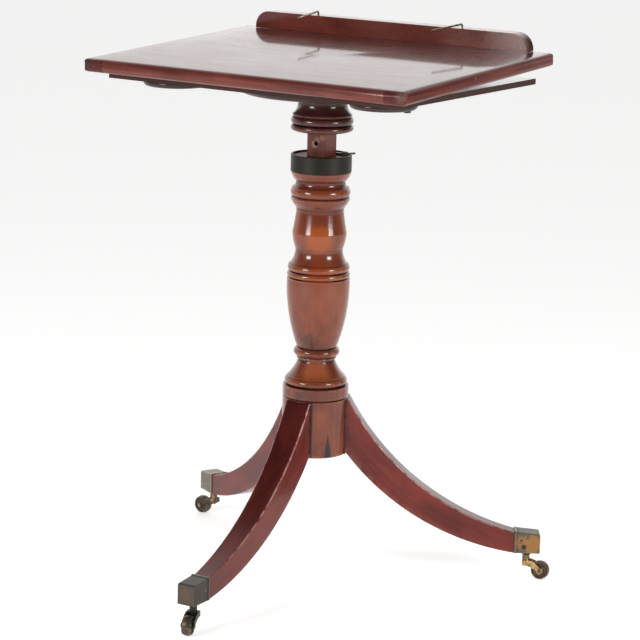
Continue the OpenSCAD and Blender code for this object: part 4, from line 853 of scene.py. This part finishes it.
def box_cap(name, turn):
    """One cap with its lip and boss."""
    round_from, lip_end = cap_out - cap_corner, cap_in + lip_w

    def top_at(x):
        top = cap_high_in + (cap_high_out - cap_high_in) * (x - cap_in) / (cap_out - cap_in)
        past = max(0.0, x - round_from)
        return top - (cap_corner - math.sqrt(max(0.0, cap_corner ** 2 - past ** 2)))

    # Just behind the lip a band is marked as hollow, which paints shade there
    stations = [(cap_in, lip_out - lip_ease, 0), (cap_in + lip_ease, lip_out, 0),
                (lip_end - lip_ease, lip_out, 0), (lip_end, lip_out - lip_ease, 0), (lip_end + 0.05, 0, 1),
                (lip_end + lip_shade, 0, 0.3)]
    body = round_from - lip_end - lip_shade
    stations += [(lip_end + lip_shade + body * i / 8, 0, 0) for i in range(1, 9)]
    stations += [(round_from + cap_corner * math.sin(math.radians(15 * i)), 0, 0) for i in range(1, 6)]
    stations += [(cap_out - 0.5, -0.15, 0), (cap_out - 0.15, -0.45, 0), (cap_out, -0.9, 0)]
    stations.sort()
    made = bmesh.new()
    hollows, arrises, rings = [], [], []
    for x, grow, hollow in stations:
        ring = []
        past = max(0.0, x - (cap_out - 0.6))
        low, high = cap_low - min(grow, 0), top_at(x) + max(grow, -0.3)
        for y, z, arris in box_ring(cap_w / 2 + grow, low, high, cap_edge):
            ring.append(made.verts.new((x * mm, y * mm, z * mm)))
            hollows.append(float(hollow))
            arrises.append(max(arris, 1.0 if past or grow > 0.5 else 0.0) * (1 - hollow))
        rings.append(ring)
    lofted(made, rings)
    around = 40
    boss = [(boss_r - 0.6, boss_low), (boss_r, boss_low + 0.6), (boss_r + 2.2, cap_low - 2.2),
            (boss_top_r, cap_low), (boss_top_r, cap_low + 1.0)]
    boss_place = Matrix.Translation((boss_x * mm, 0, 0))
    lofted(made, [hoop(made, r, z, around, boss_place) for r, z in boss])
    # The boss's upper rings are marked as hollow: painted shade where the boss meets the cap
    for row in range(len(boss)):
        hollows += [1.0 if row >= 3 else 0.0] * around
        arrises += [0.6 if row <= 1 else 0.0] * around
    cap = finished(name, made, 40.0, turn)
    keep_marks(cap.data, {"hollow": hollows, "arris": arrises})
    return cap


def on_cap(place, r, across, z):
    """A point of a cap by its distance from the column's axis, across the leg and above the floor."""
    turn = math.radians(leg_turns[place])
    return (r * math.cos(turn) - across * math.sin(turn), r * math.sin(turn) + across * math.cos(turn), z)


kicked, dark_patina = (0.34, 0.165, 0.055), (0.030, 0.029, 0.026)
cap_brass = {
    "front": aged_brass(
        "front_cap_brass", bright=(0.12, 0.095, 0.072), tarnish=(0.050, 0.046, 0.040),
        grime=(0.018, 0.015, 0.013), cover=0.8, spots=0.35, worn=(
            (on_cap("front", 340, -2, 57), 11.0, 1.0, (0.14, 0.085, 0.06), 0.6),)),
    "right": aged_brass(
        "right_cap_brass", bright=(0.19, 0.16, 0.12), tarnish=(0.105, 0.10, 0.085),
        grime=(0.03, 0.026, 0.021), cover=0.7, spots=0.35, worn=(
            (on_cap("right", 313.5, -14, 58), 13.0, 0.8, kicked, 0.95),
            (on_cap("right", 330, -14, 58), 15.5, 0.8, kicked, 1.0),
            (on_cap("right", 328, -14, 49), 13.0, 0.8, kicked, 0.95),
            (on_cap("right", 311.5, -14.5, 61), 2.8, 0.6, dark_patina, 0.9),
            (on_cap("right", 315.5, -14, 51), 5.0, 0.6, dark_patina, 0.95),
            (on_cap("right", 321, -14, 65), 2.0, 0.6, dark_patina, 0.7))),
    "left": aged_brass(
        "left_cap_brass", bright=(0.36, 0.29, 0.19), tarnish=(0.19, 0.17, 0.135),
        grime=(0.05, 0.042, 0.035), cover=0.7, spots=0.35)}
for place, turn in leg_turns.items():
    ride_for(box_cap("box_cap_" + place, turn), "cap_" + place, "base", cap_brass[place])

# Castors
# Each castor is a cast brass horn riveted up into the cap's boss so that it swivels, with two arms bent back
# to an axle pin. The wheel is turned brass, dished on its faces and dark with floor wax.
horn_brass = {
    "front": aged_brass(
        "front_horn_brass", bright=(0.11, 0.09, 0.065), tarnish=(0.042, 0.037, 0.031),
        grime=(0.018, 0.015, 0.013), cover=0.75, spots=0.3),
    "right": aged_brass(
        "right_horn_brass", bright=(0.62, 0.40, 0.17), tarnish=(0.28, 0.19, 0.09),
        grime=(0.05, 0.038, 0.026), cover=0.45, spots=0.3, worn=(
            (on_cap("right", 320.5, 0, 33), 9.5, 0.7, (0.10, 0.08, 0.055), 0.75),)),
    "left": aged_brass(
        "left_horn_brass", bright=(0.16, 0.115, 0.075), tarnish=(0.065, 0.052, 0.04),
        grime=(0.025, 0.02, 0.016), cover=0.65, spots=0.3, worn=(
            (on_cap("left", 312, 6, 31), 8.0, 0.6, (0.55, 0.33, 0.13), 0.9),))}
wheel_brass = aged_brass("wheel_brass", bright=(0.22, 0.155, 0.09), tarnish=(0.085, 0.062, 0.045),
                         grime=(0.03, 0.022, 0.017), cover=0.7, spots=0.4)
axle_brass = aged_brass("axle_brass", bright=(0.4, 0.28, 0.13), tarnish=(0.13, 0.095, 0.055),
                        grime=(0.03, 0.024, 0.018), cover=0.6, spots=0.3)
wheel_r, wheel_half, wheel_dish, hub_r, axle_hole_r = 14.0, 6.0, 1.4, 5.0, 2.05
wheel_face = [(axle_hole_r, wheel_half), (hub_r - 0.4, wheel_half), (hub_r, wheel_half - 0.3),
              (hub_r + 1.0, wheel_half - wheel_dish), (wheel_r - 3.6, wheel_half - wheel_dish),
              (wheel_r - 2.6, wheel_half - 0.2), (wheel_r - 2.2, wheel_half)]
wheel_profile = ([(r, -z) for r, z in wheel_face]
                 + arc((wheel_r - 1.2, -wheel_half), (wheel_r, 0.0), (wheel_r - 1.2, wheel_half))
                 + list(reversed(wheel_face)))
joint_axes = {joint["name"]: Vector(joint["axis"]) for joint in frame["joints"]}


def castor_wheel(name, node, axis):
    """A wheel turned to its profile, laid on its axle where the frame has it."""
    around, step = 64, 0.5
    points = close_spaced(wheel_profile, step)
    low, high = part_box(node)
    lay = facing((low + high) / 2, axis)
    made = bmesh.new()
    rings = [hoop(made, r, z, around, lay) for r, z in points]
    skinned(made, zip(rings, rings[1:] + rings[:1]))
    wheel = finished(name, made)
    keep_marks(wheel.data, ring_marks(points, around, reach=1.6, full=0.35))
    return wheel


for place in leg_turns:
    castor, roller = "castor_" + place, "roller_" + place
    fitted("horn_" + place, castor, "bright_brass", horn_brass[place], 0.6, segments=3)
    fitted("axle_" + place, castor, "old_brass", axle_brass, 0.3)
    wheel = castor_wheel("castor_wheel_" + place, "wheel_" + place, joint_axes["wheel_" + place + "_roll"])
    ride_for(wheel, "wheel_" + place, roller, wheel_brass)

# Post
# A square riser planed from straight mahogany, with a row of holes for the height peg. It slides in the
# column and is wedged through the capital and the round plate.

# Wear round the peg hole at resting height
post_spots = (
    ((-2.2, -15.5, 645.6), 6.0, 1.4, (0.30, 0.23, 0.19), 0.7),
    ((2.0, -15.5, 652.5), 6.5, 1.2, (0.22, 0.13, 0.10), 0.6),
    ((6.3, -15.5, 647.7), 1.5, 0.4, ink, 0.9),
    ((-1.0, -15.5, 639.0), 3.0, 1.2, (0.06, 0.03, 0.025), 0.6),
    ((-1.4, -15.5, 634.0), 2.5, 1.0, (0.06, 0.03, 0.025), 0.6),
    ((11.0, -15.5, 657.0), 6.0, 1.3, (0.24, 0.13, 0.06), 0.6),
    ((15.5, 2.0, 640.0), 12.0, 1.0, (0.17, 0.05, 0.032), 0.6))
post_polish = polished_wood(
    "post_polish", pale=(0.16, 0.046, 0.033), deep=(0.085, 0.024, 0.018), rubbed=(0.30, 0.18, 0.14),
    grime=(0.014, 0.007, 0.006), rough=0.4, coat=0.4, coat_rough=0.25, spots=post_spots)
fitted("post", "riser", "polished_mahogany", post_polish)

# Capital
# A short turned piece of dark mahogany with two beads, a quirk and a hollow neck, glued up under the plate.
capital_low, plate_low, capital_hole = 664.3, 719.4, 31.08
capital_bead_r, capital_bead_h, capital_neck_r, capital_flare_r = 45.5, 10.5, 35.8, 38.0
first_bead_high = capital_low + capital_bead_h
second_bead_high = first_bead_high + capital_bead_h + 1
capital_profile = (
    [(24.0, capital_low), (capital_bead_r - 9, capital_low), (capital_bead_r - 4.4, capital_low + 0.8)]
    + bead(capital_low + 1, first_bead_high - 0.1, capital_bead_r - 4, capital_bead_r)
    + bead(first_bead_high + 0.1, second_bead_high, capital_bead_r - 3.2, capital_bead_r - 0.4)
    + [(capital_bead_r - 3.2, second_bead_high + 0.9), (capital_bead_r - 2.2, second_bead_high + 2.3)]
    + arc((capital_bead_r - 2, second_bead_high + 3), (capital_neck_r + 1, second_bead_high + 12),
          (capital_neck_r, second_bead_high + 22))
    + arc((capital_neck_r, second_bead_high + 22.5),
          (capital_neck_r + 0.5, (second_bead_high + 22.5 + plate_low) / 2), (capital_flare_r, plate_low))
    + [(24.0, plate_low)])
capital_polish = polished_wood(
    "capital_polish", pale=(0.062, 0.013, 0.010), deep=(0.030, 0.007, 0.006), rubbed=(0.13, 0.04, 0.03),
    grime=(0.006, 0.003, 0.003), rough=0.3, coat=0.7, coat_rough=0.14, flecks=0.2, cut_ends=True)
capital = turned("turned_capital", capital_profile, capital_hole)
ride_for(capital, "capital", "riser", capital_polish)

# Round plate and under-board
# The plate is turned from a short board, rounded below, and screwed to a thin under-board of dark mahogany,
# which carries the hinges at its front edge and the two ratchet racks.
sides = ("left", "right")
grain_in_x, grain_in_y = (0, math.radians(-90), 0), (math.radians(90), 0, 0)
along_x, along_y = Vector((1.0, 0.0, 0.0)), Vector((0.0, 1.0, 0.0))
disc_polish = polished_wood(
    "disc_polish", pale=(0.045, 0.026, 0.022), deep=(0.022, 0.013, 0.011), rubbed=(0.12, 0.07, 0.055),
    grime=(0.008, 0.005, 0.004), rough=0.4, coat=0.5, coat_rough=0.15, turn=grain_in_x)
board_polish = polished_wood(
    "board_polish", pale=(0.06, 0.024, 0.019), deep=(0.034, 0.013, 0.011), rubbed=(0.16, 0.09, 0.07),
    grime=(0.012, 0.007, 0.006), rough=0.4, coat=1.0, coat_rough=0.12, cloud=0.45, cut_ends=True,
    edge_coat=0.25, turn=grain_in_x)
fitted("mounting_plate", "riser", "dark_mahogany", disc_polish)
fitted("under_board", "riser", "dark_mahogany", board_polish, 0.8, grain_way=along_x)
rack_wood = polished_wood(
    "rack_wood", pale=(0.24, 0.10, 0.055), deep=(0.13, 0.05, 0.03), rubbed=(0.36, 0.2, 0.12),
    grime=(0.03, 0.014, 0.01), rough=0.5, coat=0.0, turn=grain_in_y)
for side in sides:
    fitted("rack_" + side, "riser", "mahogany", rack_wood, 0.2)

# Hinges
# Two brass butt hinges join the top to the under-board, each leaf let in flush and held by two screws.
hinge_brass = aged_brass("hinge_brass", bright=(0.5, 0.34, 0.15), tarnish=(0.17, 0.125, 0.07),
                         grime=(0.035, 0.028, 0.02), cover=0.6, spots=0.4)
for side in sides:
    fitted("hinge_lower_" + side, "riser", "old_brass", hinge_brass, 0.2)
    fitted("hinge_upper_" + side, "top", "old_brass", hinge_brass, 0.2)
fitted("hinge_pins", "riser", "old_brass", hinge_brass, 0.2)

# Top
# A wide mahogany board, tongued at each end into a cross piece that keeps it flat. All edges are rounded
# over, and the face is French polished until it mirrors.

# Nail holes and a chip in the edges, darker grey at the left front corner, and a painted highlight at the
# right front corner
top_marks_and_highlight = (
    ((247.0, -213.0, 753.0), 1.6, 0.3, ink, 0.9),
    ((207.6, -213.0, 760.0), 1.4, 0.3, ink, 0.9),
    ((270.0, -31.6, 767.6), 2.6, 0.9, (0.30, 0.19, 0.15), 0.5),
    ((-262.0, -213.0, 757.0), 12.0, 1.4, (0.05, 0.04, 0.036), 0.55),
    ((262.0, -213.0, 757.0), 10.0, 1.4, (0.19, 0.12, 0.105), 0.5))
top_polish = polished_wood(
    "top_polish", pale=(0.19, 0.048, 0.036), deep=(0.09, 0.02, 0.015), rubbed=(0.27, 0.12, 0.085),
    grime=(0.014, 0.006, 0.005), rough=0.3, coat=0.8, coat_rough=0.075, cloud=0.4, pore=0.4, ripple=0.045,
    turn=grain_in_x, cut_ends=True, edge_coat=0.35, spots=top_marks_and_highlight)
end_polish = polished_wood(
    "end_polish", pale=(0.15, 0.034, 0.026), deep=(0.072, 0.015, 0.012), rubbed=(0.27, 0.12, 0.085),
    grime=(0.012, 0.006, 0.005), rough=0.3, coat=0.8, coat_rough=0.075, cloud=0.4, pore=0.5, ripple=0.045,
    turn=grain_in_y, cut_ends=True, edge_coat=0.12, spots=top_marks_and_highlight)
fitted("top_panel", "top", "polished_mahogany", top_polish, 0.25, grain_way=along_x)
for side in sides:
    fitted("top_end_" + side, "top", "mahogany", end_polish, 0.25, grain_way=along_y)

# Strut
# The easel board under the top. It turns on two small brass hinges, and its bevelled foot stands on the two
# racks.
strut_polish = polished_wood(
    "strut_polish", pale=(0.2, 0.075, 0.045), deep=(0.11, 0.038, 0.025), rubbed=(0.33, 0.18, 0.12),
    grime=(0.02, 0.01, 0.008), rough=0.4, coat=0.15, coat_rough=0.25, turn=grain_in_x)
fitted("strut", "strut", "mahogany", strut_polish, 0.6)
for node, body in (("strut_leaf_top", "top"), ("strut_leaf_foot", "strut"), ("strut_pins", "strut")):
    fitted(node, body, "old_brass", hinge_brass, 0.2)

# Ledge
# A lift-out fence with quarter-round ends that stands on two dowels at the far edge of the top, and the brass
# bushes let into it for the page holders.

# Dark rings under the page holders, a painted reflection that lightens the right part of the face, two
# lighter patches further left, and a dark rim at the right end
ledge_marks_and_reflection = (
    ((-117.0, 188.0, 804.0), 2.4, 0.6, ink, 0.8),
    ((124.0, 188.0, 807.0), 2.4, 0.6, ink, 0.8),
    ((205.0, 188.0, 800.0), 46.0, 0.9, (0.27, 0.16, 0.14), 0.65),
    ((238.0, 187.0, 788.0), 17.0, 0.3, (0.03, 0.008, 0.006), 0.9),
    ((231.0, 187.0, 802.0), 16.0, 0.3, (0.03, 0.008, 0.006), 0.9),
    ((120.0, 188.0, 796.0), 40.0, 1.2, (0.27, 0.10, 0.075), 0.35),
    ((-20.0, 188.0, 798.0), 60.0, 1.2, (0.25, 0.075, 0.052), 0.3))
ledge_polish = polished_wood(
    "ledge_polish", pale=(0.21, 0.038, 0.026), deep=(0.105, 0.018, 0.013), rubbed=(0.38, 0.2, 0.14),
    grime=(0.012, 0.005, 0.004), rough=0.3, coat=0.9, coat_rough=0.12, turn=grain_in_x, cut_ends=True,
    spots=ledge_marks_and_reflection)
bush_brass = aged_brass("bush_brass", bright=(0.6, 0.42, 0.19), tarnish=(0.25, 0.18, 0.095),
                        grime=(0.05, 0.04, 0.028), cover=0.4, spots=0.2)
fitted("ledge", "ledge", "polished_mahogany", ledge_polish, 1.2, segments=4, grain_way=along_x)
fitted("ledge_dowels", "ledge", "mahogany", rack_wood, 0.4)
fitted("holder_bushes", "ledge", "bright_brass", bush_brass, 0.2)

# Page holders
# Two lengths of hard brass wire bent square, which turn in the bushes and reach over the page.
wire_brass = aged_brass("wire_brass", bright=(0.35, 0.25, 0.10), tarnish=(0.13, 0.095, 0.05),
                        grime=(0.05, 0.036, 0.024), cover=0.55, spots=0.2)
for side in sides:
    fitted("page_holder_" + side, "holder_" + side, "bright_brass", wire_brass, sharp=60.0)

# Candle stands
# Two thin turned discs, each on a shouldered brass screw near its rim, which swing out from under the top.
for side in sides:
    fitted("candle_stand_" + side, "candle_" + side, "dark_mahogany", disc_polish, 0.3)
fitted("candle_screws", "riser", "old_brass", catch_brass, 0.3)

# Screws
# Hand-filed countersunk screws with slotted heads hold the hinges, caps, plate and brace. No two slots point
# the same way.
screw, screw_in, screw_out = new_tree(
    "slotted_screws",
    {"Geometry": "Geometry", "Int": "Seed", "Material": "Finish",
     "Float": "Head Radius, Head Height, Shank Radius, Length, Slot Width, Slot Depth"},
    {"Geometry": "Geometry"}, "GeometryNodeTree")


def at_height(tree, shape, z):
    """A shape of a geometry tree moved to a height."""
    move = put(tree, "ShaderNodeCombineXYZ", {"Z": z}).outputs[0]
    return put(tree, "GeometryNodeTransform", {"Geometry": shape.outputs[0], "Translation": move})


head = put(screw, "GeometryNodeMeshCone", {
    "Vertices": 24, "Radius Top": screw_in["Head Radius"], "Radius Bottom": screw_in["Shank Radius"],
    "Depth": screw_in["Head Height"]}, fill_type="NGON")
head_down = at_height(screw, head, times(screw, screw_in["Head Height"], -1.0))
slot_size = put(screw, "ShaderNodeCombineXYZ", {
    "X": times(screw, screw_in["Head Radius"], 2.4), "Y": screw_in["Slot Width"],
    "Z": times(screw, screw_in["Slot Depth"], 2.0)})
slot_block = put(screw, "GeometryNodeMeshCube", {"Size": slot_size.outputs[0]})
slotted = put(screw, "GeometryNodeMeshBoolean", {
    "Mesh 1": head_down.outputs[0], "Mesh 2": slot_block.outputs[0]}, operation="DIFFERENCE")
shank_l = minus(screw, screw_in["Length"], screw_in["Head Height"])
shank = put(screw, "GeometryNodeMeshCylinder", {
    "Vertices": 16, "Radius": screw_in["Shank Radius"], "Depth": shank_l})
shank_down = at_height(screw, shank, minus(screw, times(screw, shank_l, -0.5), screw_in["Head Height"]))
whole = put(screw, "GeometryNodeJoinGeometry", {})
for shape in (slotted, shank_down):
    screw.links.new(shape.outputs[0], whole.inputs[0])
lean = put(screw, "GeometryNodeInputNamedAttribute", {"Name": "lean"}, data_type="FLOAT_VECTOR")
upward = put(screw, "FunctionNodeEulerToRotation", {0: lean.outputs[0]})
any_angle = put(screw, "FunctionNodeRandomValue", {3: math.tau, "Seed": screw_in["Seed"]}, data_type="FLOAT")
twist = put(screw, "FunctionNodeAxisAngleToRotation", {"Axis": (0, 0, 1), "Angle": any_angle.outputs[1]})
driven = put(screw, "FunctionNodeRotateRotation", {
    0: upward.outputs[0], 1: twist.outputs[0]}, rotation_space="LOCAL")
set_in = put(screw, "GeometryNodeInstanceOnPoints", {
    "Points": screw_in["Geometry"], "Instance": whole.outputs[0], "Rotation": driven.outputs[0]})
made_real(screw, set_in, screw_in["Finish"], screw_out)


def loose_parts(node):
    """The separate solids of a node, each as a list of its points."""
    made = merged(node)
    parts, seen = [], set()
    for start in made.verts:
        if start in seen:
            continue
        part, waiting = [], [start]
        seen.add(start)
        while waiting:
            vert = waiting.pop()
            part.append(vert.co.copy())
            for edge in vert.link_edges:
                other = edge.other_vert(vert)
                if other not in seen:
                    seen.add(other)
                    waiting.append(other)
        parts.append(part)
    made.free()
    return parts


def driven_screws(node, sizes, way_out, finish, seed):
    """The screws of a node as one mesh. way_out gives the direction of a head from its screw's middle."""
    heads, leans = [], []
    for part in loose_parts(node):
        middle = sum(part, Vector()) / len(part)
        out = way_out(middle)
        face = max(p.dot(out) for p in part)
        heads.append(middle + out * (face - middle.dot(out)))
        leans += out.to_track_quat("Z", "Y").to_euler()
    points = bpy.data.meshes.new(node + "_places")
    points.from_pydata(heads, [], [])
    points.attributes.new("lean", "FLOAT_VECTOR", "POINT").data.foreach_set("vector", leans)
    names = ("Head Radius", "Head Height", "Shank Radius", "Length")
    values = {name: size * mm for name, size in zip(names, sizes)}
    values.update({"Slot Width": 0.8 * mm, "Slot Depth": 0.6 * mm, "Seed": seed, "Finish": finish})
    return grown(node + "_set", points, screw, values)


def beside_leg(middle):
    """Square to the leg that a screw is in, away from the leg's middle."""
    turn = min((math.radians(t) for t in leg_turns.values()),
               key=lambda t: -(middle.x * math.cos(t) + middle.y * math.sin(t)))
    across = Vector((-math.sin(turn), math.cos(turn), 0.0))
    return across if middle.dot(across) > 0 else -across


up_out = Vector((0.0, 0.0, 1.0))
top_normal = joint_axes["ledge_lift"].normalized()
leaf_screw, strut_screw = (2.6, 1.2, 1.3, 6.0), (2.6, 1.2, 1.3, 5.0)
screw_sets = (
    ("cap_screws", (2.4, 1.2, 1.3, 7.0), beside_leg, cap_brass["left"], "base", "bright_brass"),
    ("brace_screws", (3.6, 1.6, 1.8, 14.0), lambda middle: -up_out, dark_iron, "base", "iron"),
    ("plate_screws", (4.2, 2.4, 2.2, 18.0), lambda middle: up_out, dark_iron, "riser", "iron"),
    ("lower_leaf_screws", leaf_screw, lambda middle: up_out, hinge_brass, "riser", "old_brass"),
    ("upper_leaf_screws", leaf_screw, lambda middle: -top_normal, hinge_brass, "top", "old_brass"),
    ("strut_top_screws", leaf_screw, lambda middle: -top_normal, hinge_brass, "top", "old_brass"),
    ("strut_foot_screws", strut_screw, lambda middle: up_out, hinge_brass, "strut", "old_brass"))
for seed, (node, sizes, way_out, finish, body, slot) in enumerate(screw_sets, 11):
    ride_for(driven_screws(node, sizes, way_out, finish, seed), node, body, finish)
